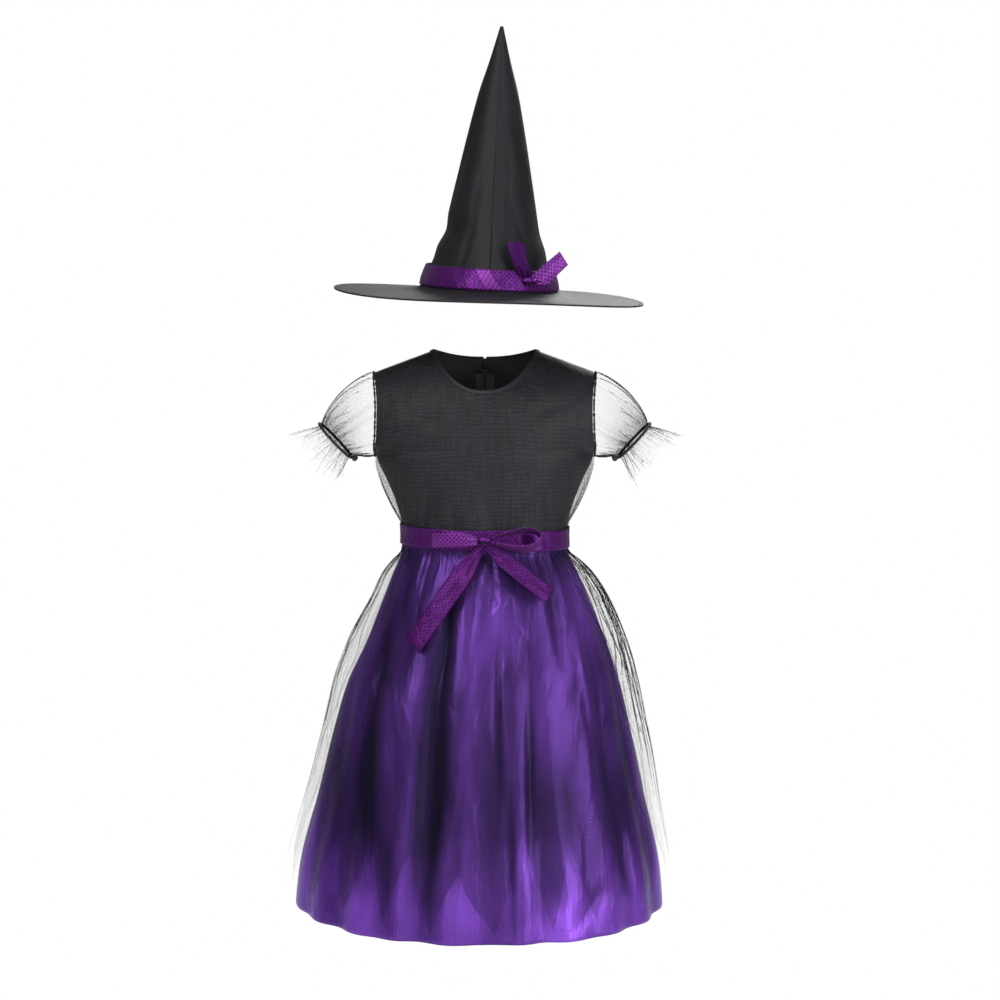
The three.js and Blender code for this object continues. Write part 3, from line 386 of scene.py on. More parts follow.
def cloth(name, place, across, up, faces, material, slot, nodes, closed=False, seam=None, density_and_painted_shade=None):
    """A sheet over a grid of seat points: one face, or two faces that close into a thin shell.

    faces are the distances off the seat, the outer one first. density_and_painted_shade gives the
    thread_density_and_painted_shade attribute, which the materials read."""
    u, v = np.meshgrid(across, up)
    wide = len(across) - 1 if closed else len(across)
    seat = place(u, v)
    if closed:
        seat_cells = seat[:, :wide]
        low, high = seat_cells[:-1], seat_cells[1:]
        square = np.cross(np.roll(high, -1, 1) - low, high - np.roll(low, -1, 1))
        normals = np.zeros_like(seat_cells)
        for side in (square, np.roll(square, 1, 1)):
            normals[:-1] += side
            normals[1:] += side
    else:
        square = np.cross(seat[1:, 1:] - seat[:-1, :-1], seat[1:, :-1] - seat[:-1, 1:])
        normals = np.zeros_like(seat)
        for rows_part in (slice(None, -1), slice(1, None)):
            for columns_part in (slice(None, -1), slice(1, None)):
                normals[rows_part, columns_part] += square
    normals /= np.linalg.norm(normals, axis=-1, keepdims=True)
    u_cells, v_cells = u[:, :wide], v[:, :wide]
    if seam:
        normals = seam(normals, u_cells, v_cells)
        normals /= np.linalg.norm(normals, axis=-1, keepdims=True)
    step = np.linalg.norm(np.diff(seat, axis=1), axis=-1)
    middle = step.shape[1] // 2
    run_u = np.concatenate([np.zeros((len(up), 1)), np.cumsum(step, axis=1)], axis=1)
    run_u -= run_u[:, middle:middle + 1]
    if slot == "dotted_ribbon":
        run_u = np.tile(run_u.mean(0), (len(up), 1))
    rise = np.linalg.norm(np.diff(seat, axis=0), axis=-1)
    run_v = np.concatenate([np.zeros((1, len(across))), np.cumsum(rise, axis=0)], axis=0)
    uv = np.stack([run_u, run_v], axis=-1) * MM
    points = np.concatenate([(seat[:, :wide] + normals * lift).reshape(-1, 3) for lift in faces])
    tall = len(up)
    i, j = np.meshgrid(np.arange(tall - 1), np.arange(wide if closed else wide - 1), indexing="ij")
    i, j = i.ravel(), j.ravel()
    nxt = (j + 1) % wide
    quads = np.stack([i * wide + j, i * wide + nxt, (i + 1) * wide + nxt, (i + 1) * wide + j], axis=1)
    at = np.stack([uv[i, j], uv[i, j + 1], uv[i + 1, j + 1], uv[i + 1, j]], axis=1)
    all_quads, all_uv = [quads], [at]
    if len(faces) == 2:
        under = tall * wide
        all_quads.append(quads[:, ::-1] + under)
        all_uv.append(at[:, ::-1])
        rims = [(a, (a + 1) % wide) for a in range(wide if closed else wide - 1)]
        top = (tall - 1) * wide
        edges = rims + [(top + b, top + a) for a, b in rims]
        if not closed:
            edges += [((r + 1) * wide, r * wide) for r in range(tall - 1)]
            edges += [((r + 1) * wide - 1, (r + 2) * wide - 1) for r in range(tall - 1)]
        a, b = np.array(edges).T
        flat_uv = uv[:, :wide].reshape(-1, 2)
        all_quads.append(np.stack([b, a, a + under, b + under], axis=1))
        all_uv.append(np.stack([flat_uv[b], flat_uv[a], flat_uv[a], flat_uv[b]], axis=1))
    quads, at = np.concatenate(all_quads).tolist(), np.concatenate(all_uv)
    piece = made(name, points, quads, at, material, slot, nodes)
    if density_and_painted_shade:
        amount = np.tile(density_and_painted_shade(u_cells, v_cells, seat[:, :wide]).ravel(), len(faces))
        piece.data.attributes.new("thread_density_and_painted_shade", "FLOAT", "POINT").data.foreach_set("value", amount)
    return piece


EDGE = 1e-6
ZIP_GAP = 0.35


def bodice_seam(normals, angle, v):
    """Front and back meet edge to edge at the side and shoulder seams, and the two backs at the zip."""
    beside = (np.abs(cosine(angle)) < 1e-3) & (v <= 1)
    shoulder = (v == 2) & (np.abs(width_at(angle, SHOULDER_HALF)) > NECK_HALF - 0.01)
    normals[..., 1] = np.where(beside | shoulder, 0, normals[..., 1])
    normals[..., 0] = np.where(np.abs(angle - 180) < 2 * ZIP_GAP, 0, normals[..., 0])
    normals[..., 2] = np.where(v == 0, 0, normals[..., 2])
    return normals


neck_angle = math.degrees(math.asin((NECK_HALF / SHOULDER_HALF) ** (BODY_SQUARE / 2)))


def neck_columns(count):
    """Angles from the centre to the shoulder's end, even round the neck's oval and then on to the side."""
    round_neck = NECK_HALF * np.sin(np.linspace(0, math.pi / 2, count + 1))
    inner = np.degrees(np.arcsin((round_neck / SHOULDER_HALF) ** (BODY_SQUARE / 2)))
    return np.concatenate([inner, np.linspace(neck_angle, 90 - EDGE, count + 1)[1:]])


half_columns = neck_columns(30)
front_columns = np.concatenate([-half_columns[:0:-1], half_columns])
left_columns = 180 - np.maximum(half_columns, ZIP_GAP)[::-1]
PANELS = {"front": front_columns, "back_left": left_columns, "back_right": (360 - left_columns)[::-1]}
bodice_rows = np.concatenate([np.linspace(0, 1, 46), 1 + np.linspace(0, 1, 61)[1:]])
black_satin = satin("black_satin", (0.012, 0.0115, 0.0145), (0.026, 0.025, 0.031), 0.5, 0.0, 1.6, 0.3)

# Pulls in the satin by x and z: from and to, depth and half width.
BODICE_PULLS = {
    "front": [
        (-72, -192, -60, -135, 2.7, 7),
        (-38, -192, -34, -150, 2.2, 6),
        (8, -192, 2, -138, 2.0, 8),
        (44, -192, 52, -146, 2.5, 7),
        (74, -190, 66, -120, 2.0, 9),
        (-112, -100, -70, -72, 2.4, 8),
        (114, -98, 74, -66, 2.2, 8),
        (-88, -52, -40, -74, 1.5, 10),
        (92, -44, 48, -60, 1.5, 9),
    ],
    "back": [
        (-70, -192, -58, -140, 2.5, 7),
        (-30, -192, -26, -150, 2.0, 6),
        (34, -192, 30, -138, 2.2, 7),
        (72, -192, 60, -148, 2.4, 7),
        (-110, -98, -66, -78, 2.2, 9),
        (112, -100, 70, -70, 2.0, 8),
        (12, -60, 16, -110, 1.4, 6),
    ],
}


def pulled(place, rows, keep_edges):
    """A seat surface with creases pressed into it, square to a round body about the upright axis."""
    def seat(u, v):
        points = place(u, v)
        deep = creases(rows, points[..., 0], points[..., 2]) * keep_edges(u, v)
        points[..., :2] -= outward(points[..., 0], points[..., 1]) * deep[..., None]
        return points
    return seat


def off_edges(angle, v):
    """0 at the seams of the bodice and 1 inside it."""
    beside = np.clip(np.abs(cosine(angle)) / 0.25, 0, 1)
    return beside * np.clip(v / 0.1, 0, 1) * np.clip((2 - v) / 0.25, 0, 1)


for panel, columns in PANELS.items():
    rows = BODICE_PULLS["front" if panel == "front" else "back"]
    cloth(f"satin_{panel}", pulled(bodice, rows, off_edges), columns, bodice_rows, (0, -SATIN_SHELL),
          black_satin, "black_satin", [f"bodice_{panel}"], seam=bodice_seam)

# Net over the bodice: black tulle, sewn in with the satin at every seam, finely gathered at the waist and
# loose at the sides. Its holes are cut by the material.
NET_LIFT = 0.85


def tulle(name, pitch, cover, dark=(0.004, 0.004, 0.005), light=(0.007, 0.007, 0.009), ripple=0.0,
          stripe=4.6):
    """Tulle: three crossing sets of threads, which the thread_density_and_painted_shade attribute makes stand closer in folds."""
    look = Look(name)
    u, v = look.cloth_place()
    folds_and_painted_shade = look.node("Attribute", {"attribute_name": "thread_density_and_painted_shade"}, out=2)
    cloud = look.noise(14.0, 26.0)
    stripes = (v * (2 * math.pi / stripe) + look.noise(26.0, 12.0) * 12).wave() * 0.5 + 0.5
    broken = (look.noise(3.0, 30.0) * 1.6 - 0.3).within()
    bare = cover / 3 * (0.55 + cloud * 0.9) * (stripes * ripple + 1)
    half_thread = (bare + folds_and_painted_shade / 3) * 0.5
    threads = None
    for turn in (0, 60, 120):
        line = (u * math.cos(math.radians(turn)) + v * math.sin(math.radians(turn))) / pitch
        thread = ((line.fraction() - 0.5).absolute()) < half_thread
        threads = thread if threads is None else threads.most(thread)
    return look.finish({
        "Base Color": look.colours(dark, light, stripes * broken),
        "Roughness": 0.7,
        "Specular IOR Level": 0.1,
        "Alpha": threads,
    })


NET_PITCH = 1.2
bodice_net = tulle("net_on_bodice", NET_PITCH, 0.26, (0.009, 0.009, 0.011), (0.075, 0.073, 0.084), 0.5)
NET_GATHERS = 46
NET_SIDE = {"bulge": 8.0, "middle": -144.5, "reach": 36.5}


def gathers(angle, count, seed):
    """Uneven waves round the body, between 0 and 1."""
    shift = np.random.default_rng(seed).uniform(0, 360, 4)
    turn = angle + 2.2 * sine(3 * angle + shift[0]) + 1.1 * sine(7 * angle + shift[1])
    strength = 0.6 + 0.4 * sine(5 * angle + shift[2]) * sine(2 * angle + shift[3])
    return strength * (0.5 + 0.5 * cosine(turn * count))


def net_bodice(angle, v):
    """The net follows the bodice, gathered at the waist and standing off at the sides."""
    points = bodice(angle, v)
    x, y, z = (points[..., k].copy() for k in range(3))
    tall = (z - NET_SIDE["middle"]) / NET_SIDE["reach"]
    loose = NET_SIDE["bulge"] * np.maximum(0, 1 - tall ** 2) * np.abs(sine(angle)) ** 10
    near_waist = np.clip(v / 0.06, 0, 1) * np.exp(-v / 0.45)
    wave = 1.3 * gathers(angle, NET_GATHERS, 3) * near_waist
    points[..., :2] += outward(x, y) * wave[..., None]
    points[..., 0] += np.sign(x) * loose
    return points


def bodice_density(angle, v, seat):
    """How much closer the net's threads stand, in its gathers and at its loose sides."""
    side = np.abs(sine(angle)) ** 12 * (v < 1.1)
    near_waist = np.exp(-v / 0.3)
    folds = np.clip((gathers(angle, NET_GATHERS, 3) - 0.55) * 2.4, 0, 1)
    return folds * (0.15 * near_waist + 0.35 * side) + 0.1 * side


def between(columns, count):
    """So many values over the same run as the columns, with their spacing."""
    return np.interp(np.linspace(0, len(columns) - 1, count), np.arange(len(columns)), columns)


for panel, columns in PANELS.items():
    cloth(f"net_{panel}", net_bodice, between(columns, 2 * len(columns) - 1), bodice_rows[::2], (NET_LIFT,),
          bodice_net, "black_net", [f"net_bodice_{panel}"], seam=bodice_seam,
          density_and_painted_shade=bodice_density)

# Neck binding: a narrow strip of the black satin, cut on the cross. It is folded over the neck's edge and
# topstitched, and it closes over both backs up to the zip.
BINDING_WIDTH = 4.0
BINDING_FACES = (1.7, 1.0)


def neck_strip(back):
    def seat(angle, v):
        """v runs from 0 at the strip's outer edge to 1 at the neck's edge."""
        x = width_at(angle, SHOULDER_HALF)
        wide = np.minimum(np.abs(x), NECK_HALF)
        low = NECK_LOW["back"] if back else NECK_LOW["front"]
        fall = NECK_POINT - low
        slope = fall * NECK_FULLNESS * (wide / NECK_HALF) ** (NECK_FULLNESS - 1) / NECK_HALF
        square = np.stack([slope, -np.ones_like(slope)], axis=-1)
        square /= np.linalg.norm(square, axis=-1, keepdims=True)
        seam = np.array([SHOULDER_HALF - NECK_HALF, SHOULDER_TIP - NECK_POINT])
        seam /= np.linalg.norm(seam)
        turn = ((wide / NECK_HALF) ** 6)[..., None]
        away = square * (1 - turn) + seam * turn
        away /= np.linalg.norm(away, axis=-1, keepdims=True)
        away *= (BINDING_WIDTH * (1 - v))[..., None]
        edge = low + fall * (wide / NECK_HALF) ** NECK_FULLNESS
        return torso_at(np.full(x.shape, back), np.sign(x) * (np.abs(x) + away[..., 0]), edge + away[..., 1])
    return seat


def strip_seam(normals, angle, v):
    return bodice_seam(normals, angle, np.full(v.shape, 2.0))


neck_half = neck_columns(30)[:31]
neck_left = 180 - np.maximum(neck_half, ZIP_GAP)[::-1]
NECK_PARTS = {
    "front": (False, np.concatenate([-neck_half[:0:-1], neck_half])),
    "back_left": (True, neck_left),
    "back_right": (True, (360 - neck_left)[::-1]),
}
for part, (back, columns) in NECK_PARTS.items():
    cloth(f"binding_{part}", neck_strip(back), columns, np.linspace(0, 1, 7), BINDING_FACES, black_satin,
          "black_satin", [f"neck_binding_{part}"], seam=strip_seam)

# Satin skirt: front and back of glossy purple satin, gathered into the waist seam. The folds follow the photo
# in front; similar ones run down the sides and the back.
HEM = {"front": -617.0, "side": -609.0, "back": -604.0}
HEM_SQUARE = {"left": 2.5, "right": 2.15}
SKIRT_RINGS = table(
    "z half front back shift",
    (-622, 208.5, 183, 177, -7),
    (-560, 202, 173, 167, -6),
    (-490, 184.5, 157, 151, -4.5),
    (-414, 167, 140, 134, -3),
    (-362, 153.5, 125, 119, -1.5),
    (-316, 135.5, 109, 103, 1.5),
    (-240, 105, 84, 76, 0.5),
    (-213, 93.2, 71.7, 60.7, 0),
    (WAIST, 92.5, 71, 60, 0),
)
BELT_LOW = -213.0
WAIST_GATHERS = 20

# Broad troughs as in the solids: angle from the centre front, depth and half spread at the hem, start height.
SKIRT_FOLDS = [
    (-67, 6, 6, -330), (-48, 11, 6, -235), (-31, 6, 5, -380), (-17, 13, 6, -225), (2, 9, 6, -240),
    (16, 12, 5, -290), (33, 6, 6, -400), (50, 9, 6, -250), (70, 8, 6, -300), (102, 9, 6, -260),
    (119, 6, 5, -360), (136, 12, 7, -230), (157, 8, 6, -300), (176, 12, 6, -240), (-163, 7, 5, -350),
    (-146, 11, 7, -245), (-124, 7, 6, -320), (-104, 10, 6, -270),
]


def skirt_ring(angle, z, push):
    """The skirt's oval at each height, pushed outwards by so much."""
    half = along(SKIRT_RINGS, "half", z)
    back = cosine(angle) < 0
    deep = np.where(back, along(SKIRT_RINGS, "back", z), along(SKIRT_RINGS, "front", z))
    flared = np.clip((WAIST - z) / (WAIST - HEM["side"]), 0, 1)
    square = mix(BODY_SQUARE, np.where(sine(angle) > 0, HEM_SQUARE["left"], HEM_SQUARE["right"]), flared)
    x = np.sign(sine(angle)) * np.abs(sine(angle)) ** (2 / square) * half
    y = np.where(back, 1, -1) * np.abs(cosine(angle)) ** (2 / square) * deep
    out = np.stack([x / half / half, y / deep / deep], axis=-1)
    out /= np.linalg.norm(out, axis=-1, keepdims=True)
    shift = along(SKIRT_RINGS, "shift", z)
    return np.stack([x + shift + out[..., 0] * push, y + out[..., 1] * push, z], axis=-1)


def fold_depth(angle, z):
    """How deep the broad troughs run in, which grow from their start height to the hem."""
    depth = 0
    for at, deep, spread, start in SKIRT_FOLDS:
        turn = (np.abs((angle - at + 540) % 360) - 180) / spread
        grown = np.clip((start - z) / (start - HEM["side"]), 0, 1)
        depth = depth + deep * np.exp(-turn * turn) * np.sin(grown * np.pi / 2)
    return depth


# Creases by x and z: from and to, depth and half width. The first rows are the photo's own.
SKIRT_CREASES = {
    "front": [
        (-99, -260, -124, -381, 4.4, 10),
        (-124, -381, -125, -560, 5.0, 11),
        (-32, -240, -57, -379, 4.6, 9),
        (-57, -379, -66, -570, 6.2, 12),
        (14, -300, 15, -455, 2.6, 5),
        (20, -330, 21, -440, -1.6, 4),
        (50, -340, 52, -535, 2.4, 4.5),
        (28, -455, 30, -610, 3.0, 5),
        (96, -262, 124, -415, -2.4, 5),
        (106, -262, 134, -400, 2.8, 7),
        (-2, -236, 26, -272, -1.6, 3.2),
        (26, -250, 8, -278, -1.5, 3.2),
        (8, -240, 10, -268, 2.2, 7),
        (26, -272, 44, -294, -1.3, 3.2),
        (-106, -510, -105, -612, 2.6, 6),
        (136, -560, 96, -606, 2.2, 9),
        (70, -560, 80, -612, -2.0, 10),
        (-80, -225, -92, -300, 2.2, 6),
        (70, -222, 84, -330, 2.2, 7),
        (-8, -225, -14, -300, 2.0, 5),
        (-155, -420, -168, -590, 2.6, 9),
        (150, -380, 160, -560, 2.4, 9),
        (86, -430, 96, -560, 1.8, 8),
        (-30, -470, -34, -600, 2.0, 7),
    ],
    "back": [
        (-90, -240, -118, -400, 3.0, 8),
        (-118, -400, -122, -560, 3.4, 8),
        (-40, -236, -52, -380, 3.2, 7),
        (-52, -380, -60, -580, 3.8, 8),
        (-6, -232, -4, -400, 2.6, 6),
        (6, -380, 8, -590, 3.2, 7),
        (44, -238, 60, -420, 3.4, 8),
        (60, -420, 58, -600, 3.0, 7),
        (92, -250, 122, -430, 3.0, 8),
        (122, -430, 130, -590, 2.6, 8),
        (20, -250, 34, -330, -1.6, 5),
        (-70, -280, -84, -420, -1.8, 6),
        (-20, -440, -30, -570, -2.0, 7),
        (90, -460, 96, -600, -1.8, 7),
        (150, -400, 160, -560, 2.2, 9),
        (-152, -380, -164, -580, 2.4, 9),
    ],
}


# Broad soft hollows (+) of the front, pressed into the satin and also darkened as painted shade, and painted
# highlights (-), which only lighten the colour: by x and z, middle, half width, half height, amount.
SKIRT_HOLLOWS_AND_PAINTED_LIGHT = [
    (-48, -425, 20, 90, 0.55), (84, -455, 26, 62, 0.5), (132, -450, 26, 70, 0.35), (-160, -440, 30, 110, 0.3),
    (-96, -440, 16, 70, 0.2), (10, -480, 22, 60, 0.15), (-110, -250, 30, 40, 0.3), (60, -245, 30, 22, 0.2),
    (18, -288, 28, 40, -0.9), (104, -300, 30, 50, -0.9), (-150, -590, 36, 40, -0.7), (84, -606, 22, 26, -2.2),
    (136, -590, 26, 30, -0.3), (-22, -590, 40, 40, -0.2), (-86, -300, 16, 60, -0.25),
]


def hollows_and_painted_light(side, x, z):
    """The front's broad hollows, pressed in and painted darker, and its painted highlights; the back has
    none.
    """
    if side == "back":
        return np.zeros(np.shape(x))
    return sum(amount * np.exp(-((x - at_x) / half_x) ** 2 - ((z - at_z) / half_z) ** 2)
               for at_x, at_z, half_x, half_z, amount in SKIRT_HOLLOWS_AND_PAINTED_LIGHT)


def satin_skirt(side):
    def seat(angle, v):
        """v runs from 0 at the hem to 1 at the waist seam."""
        facing = cosine(angle)
        hem = mix(HEM["side"], np.where(facing > 0, HEM["front"], HEM["back"]), facing ** 2)
        z = mix(hem, WAIST, v)
        fade = np.clip((WAIST - z) / 25, 0.05, 1) * np.clip((z + 420) / 180, 0, 1)
        gather = 2.6 * gathers(angle, WAIST_GATHERS, 8) * fade
        fine = 0.8 * gathers(angle, 3 * WAIST_GATHERS, 12)
        fine = fine * np.clip((WAIST - z) / 12, 0, 1) * np.clip((z + 300) / 90, 0, 1)
        base = skirt_ring(angle, z, 0)
        below = np.clip((BELT_LOW - z) / 20, 0, 1) * np.clip(np.abs(facing) / 0.12, 0, 1)
        deep = creases(SKIRT_CREASES[side], base[..., 0], z)
        deep = (deep + 5 * np.maximum(0, hollows_and_painted_light(side, base[..., 0], z))) * below
        return skirt_ring(angle, z, -0.75 * fold_depth(angle, z) - gather - fine - deep)
    return seat


def skirt_painted_shade(side):
    """Painted shade for the satin: how deep each point lies in its folds, creases, gathers and hollows, from
    0 to about 1, less towards the hem and at the sides, and below 0, as painted light, where the front has
    its painted highlights.
    """
    def painted_shade_amount(angle, v, seat):
        x, z = seat[..., 0], seat[..., 2]
        deep = fold_depth(angle, z) * 0.055 + creases(SKIRT_CREASES[side], x, z) * 0.2
        gathered = gathers(angle, WAIST_GATHERS, 8) * 0.3 * np.clip((z + 380) / 160, 0, 1)
        # Painted light: the colour is made lighter towards the hem and at the sides.
        painted_light_at_hem = np.clip((-500 - z) / 80, 0, 1)
        painted_light_at_sides = np.abs(sine(angle)) ** 8
        return np.clip(deep + gathered + 0.1, 0, 1) + hollows_and_painted_light(side, x, z) - 0.35 * painted_light_at_hem - 0.2 * painted_light_at_sides
    return painted_shade_amount


def skirt_seam(normals, angle, v):
    normals[..., 1] = np.where(np.abs(cosine(angle)) < 1e-3, 0, normals[..., 1])
    normals[..., 2] = np.where(v == 1, 0, normals[..., 2])
    return normals


# The skirt's satin is darkened by its per-point value as painted shade, and lightened where that value is
# below 0 as painted light.
purple_satin = satin("purple_satin", (0.014, 0.004, 0.045), (0.24, 0.075, 0.60), 0.32, 0.5, 2.6, 0.2, 0.95)
HALVES = {"front": (-90 + EDGE, 90 - EDGE), "back": (90 + EDGE, 270 - EDGE)}
for side, (start, end) in HALVES.items():
    cloth(f"satin_skirt_{side}", satin_skirt(side), np.linspace(start, end, 261), np.linspace(0, 1, 111),
          (0, -SATIN_SHELL), purple_satin, "purple_satin", [f"skirt_{side}"],
          seam=skirt_seam, density_and_painted_shade=skirt_painted_shade(side))

# Net overskirt: tulle gathered into the same seam. It lies on the satin in front, stands off at the sides and
# ends in long points.
NET_STAND = table(
    "z right left",
    (-622, 13, 6),
    (-577, 14, 8),
    (-512, 14, 12),
    (-450, 12.5, 16),
    (-382, 13.5, 17),
    (-312, 20, 21),
    (-266, 13, 21),
    (-236, 10, 14),
    (-210, 0, 0),
    (WAIST, 0, 0),
)
NET_STAND_MIDDLE = {"front": 2.5, "back": 7.0}
NET_POINTS, NET_POINT_TURN, NET_NOTCH = 24, 2.5, 93.0
NET_TIP = {"front": -605.0, "side": -574.0}
NET_WAVE = 3.0


def net_skirt(angle, v):
    """v runs from 0 at the points to 1 at the waist seam."""
    facing = cosine(angle)
    tip = mix(NET_TIP["side"], NET_TIP["front"], facing ** 2)
    turn = (angle - NET_POINT_TURN) * NET_POINTS / 360
    lean = 0.18 * np.sin(turn * 2.4) + 0.12 * np.sin(turn * 5.1) - 0.1
    notch = NET_NOTCH * (1 - np.abs((turn - np.floor(turn)) * 2 - 1)) * (1 + lean)
    z = mix(tip + notch, WAIST, v)
    below = BELT_LOW - z
    left = sine(angle) > 0
    stand = np.where(left, along(NET_STAND, "left", z), along(NET_STAND, "right", z))
    stand = stand * np.abs(sine(angle)) ** 6
    middle = facing ** 2 * np.where(facing > 0, NET_STAND_MIDDLE["front"], NET_STAND_MIDDLE["back"])
    side = 0.3 + 0.7 * np.abs(sine(angle))
    wave = NET_WAVE * side * gathers(angle, NET_POINTS, 5) * np.clip(below / 150, 0, 1)
    fine = 1.2 * gathers(angle, 2.5 * NET_POINTS, 6) * np.clip(below / 8, 0, 1) * (0.4 + 0.6 * side)
    push = stand * np.clip(below / 10, 0, 1) + middle * np.clip(below / 100, 0, 1) + wave + fine
    return skirt_ring(angle, z, push)


def net_skirt_density(angle, v, seat):
    """Closer threads in the folds and under the belt, and wider ones where the net stands off."""
    side = np.abs(sine(angle)) ** 8
    folds = np.clip((gathers(angle, 2.5 * NET_POINTS, 6) - 0.62) * 3, 0, 1)
    left = sine(angle) > 0
    thin = side * np.where(left, 0.25, 0.2)
    return folds * (0.08 + side * np.where(left, 0.35, 0.15)) - thin + 0.3 * np.exp((v - 1) / 0.06)


skirt_net = tulle("net_on_skirt", NET_PITCH, 0.22, ripple=0.8, stripe=3.0)
for side, (start, end) in HALVES.items():
    cloth(f"net_skirt_{side}_net", net_skirt, np.linspace(start, end, 361), np.linspace(0, 1, 91),
          (NET_LIFT,), skirt_net, "black_net", [f"net_skirt_{side}"],
          seam=skirt_seam, density_and_painted_shade=net_skirt_density)

# Puff sleeves: tulle gathered into the armhole and held by a covered elastic cord above the elbow, with a
# ragged frill beyond it.
CUFF = {"x": 167.0, "z": -90.0, "tall": 24.0, "deep": 27.0, "slope": 47.0}
PUFF = {"top": 13.0, "side": 9.0, "bottom": 2.0}
CORD_GROOVE = 2.4
FRILL = {"length": 25.0, "flare": 11.0, "wave": 3.0}
SLEEVE_GATHERS = 7
NET_OUT = 1.35
cuff_out = (math.sin(math.radians(CUFF["slope"])), -math.cos(math.radians(CUFF["slope"])))
cuff_up = (math.cos(math.radians(CUFF["slope"])), math.sin(math.radians(CUFF["slope"])))


def cuff_point(hand, angle, wider):
    """A point of the cuff's oval, whose opening faces down and outwards."""
    up = cosine(angle) * (CUFF["tall"] + wider)
    front = sine(angle) * (CUFF["deep"] + wider)
    x = hand * (CUFF["x"] + cuff_up[0] * up)
    return np.stack([x, -front, CUFF["z"] + cuff_up[1] * up], axis=-1)


def sleeve(hand):
    def seat(angle, v):
        """v runs from 0 at the armhole to 1 at the cord, to 2 past it, and to 3 at the frill's edge."""
        up, front = cosine(angle), sine(angle)
        wave = 0.5 + 0.5 * cosine(angle * SLEEVE_GATHERS)
        small = gathers(angle + 40 * hand, 3 * SLEEVE_GATHERS, 21)
        past = np.maximum(0, v - 2)
        flare = past * (FRILL["flare"] + 2 * FRILL["wave"] * (wave - 0.5) + 5 * (small - 0.4) * past)
        ragged = 1 + 0.25 * sine(11 * angle + 50 * hand) * sine(4 * angle)
        out = mix(-CORD_GROOVE, CORD_GROOVE, np.clip(v - 1, 0, 1))
        out = out + past * FRILL["length"] * np.minimum(ragged, 1.1)
        cuff = cuff_point(hand, angle, flare)
        cuff[..., 0] += hand * cuff_out[0] * out
        cuff[..., 2] += cuff_out[1] * out
        z = mix(UNDERARM, SHOULDER_TIP, 0.5 + 0.5 * up)
        arm = torso(np.where(front >= 0, 90 - 1e-4, 90 + 1e-4), z)
        arm[..., 0] = hand * (arm[..., 0] + NET_OUT + 0.5)
        bulge = mix(PUFF["side"], np.where(up > 0, PUFF["top"], PUFF["bottom"]), up ** 2)
        swell = np.sin(np.pi * np.clip(v, 0, 1)) ** 0.7
        push = (bulge - 2.5 * wave - 1.8 * small) * swell
        tilt = np.radians(CUFF["slope"]) * v
        t = np.clip(v, 0, 1)[..., None]
        point = arm * (1 - t) + cuff * t
        point[..., 0] += hand * np.sin(tilt) * up * push
        point[..., 2] += np.cos(tilt) * up * push
        point[..., 1] -= front * push
        return np.where((v >= 1)[..., None], cuff, point)
    return seat


def sleeve_density(hand):
    def density(angle, v, seat):
        """Closer threads in the gathers, at the cord and below the arm."""
        small = gathers(angle + 40 * hand, 3 * SLEEVE_GATHERS, 21)
        folds = np.clip((small - 0.5) * 2.4, 0, 1)
        at_cord = np.exp(-((v - 1.3) / 0.55) ** 2)
        under = np.exp(-((angle - 180) / 16) ** 2) * (v < 1)
        return folds * (0.08 + 0.9 * at_cord) + 0.5 * at_cord + 0.35 * under
    return density


sleeve_net = tulle("net_sleeve", 1.3, 0.045)
sleeve_rows = np.concatenate([np.linspace(0, 1, 51), np.linspace(1, 2, 5)[1:], np.linspace(2, 3, 25)[1:]])
for name, hand in (("left", 1), ("right", -1)):
    columns = np.linspace(0, 360, 253)[::hand]
    cloth(f"puff_{name}", sleeve(hand), columns, sleeve_rows, (-0.5,), sleeve_net, "black_net",
          [f"sleeve_{name}"], closed=True, density_and_painted_shade=sleeve_density(hand))

# Folds of the net: where tulle doubles over itself it shows as a fine dark line. Each is a narrow strip of
# the same net that follows its cloth: down the sleeves, past their cords, at the sides and under the belt.
look = Look("folded_net")
broken = look.noise(2.2, 0.4, 2.0)
folded_net = look.finish({
    "Base Color": look.colours((0.003, 0.003, 0.004), (0.012, 0.012, 0.014), broken),
    "Roughness": 0.8,
    "Specular IOR Level": 0.2,
    "Alpha": ((broken - 0.3) * 3.2).within(),
})
SLEEVE_FOLDS = [
    (0, 0, 2, 1, 1.0), (8, 0.02, -6, 0.97, 0.8), (-9, 0.05, 4, 0.9, 0.8), (16, 0.1, 10, 0.8, 0.6),
    (30, 0, 22, 1, 0.7), (44, 0.25, 30, 1, 0.7), (60, 0.5, 46, 1, 0.6), (72, 0.62, 64, 1, 0.6),
    (90, 0.72, 84, 1, 0.6), (112, 0.6, 118, 1, 0.6), (135, 0.5, 148, 1, 0.7), (170, 0, 172, 1, 1.8),
    (180, 0, 179, 1, 2.0), (188, 0.05, 185, 1, 1.6), (175, 0.05, 168, 1, 1.3), (184, 0.1, 176, 1, 1.3),
    (160, 0.2, 166, 1, 0.8), (202, 0.3, 190, 1, 0.8),
    (-30, 0.1, -22, 1, 0.5), (-55, 0.55, -50, 1, 0.5), (-92, 0.7, -96, 1, 0.5), (-130, 0.5, -142, 1, 0.5),
]
STRIP_STEPS, STRIP_APART = 36, 0.013


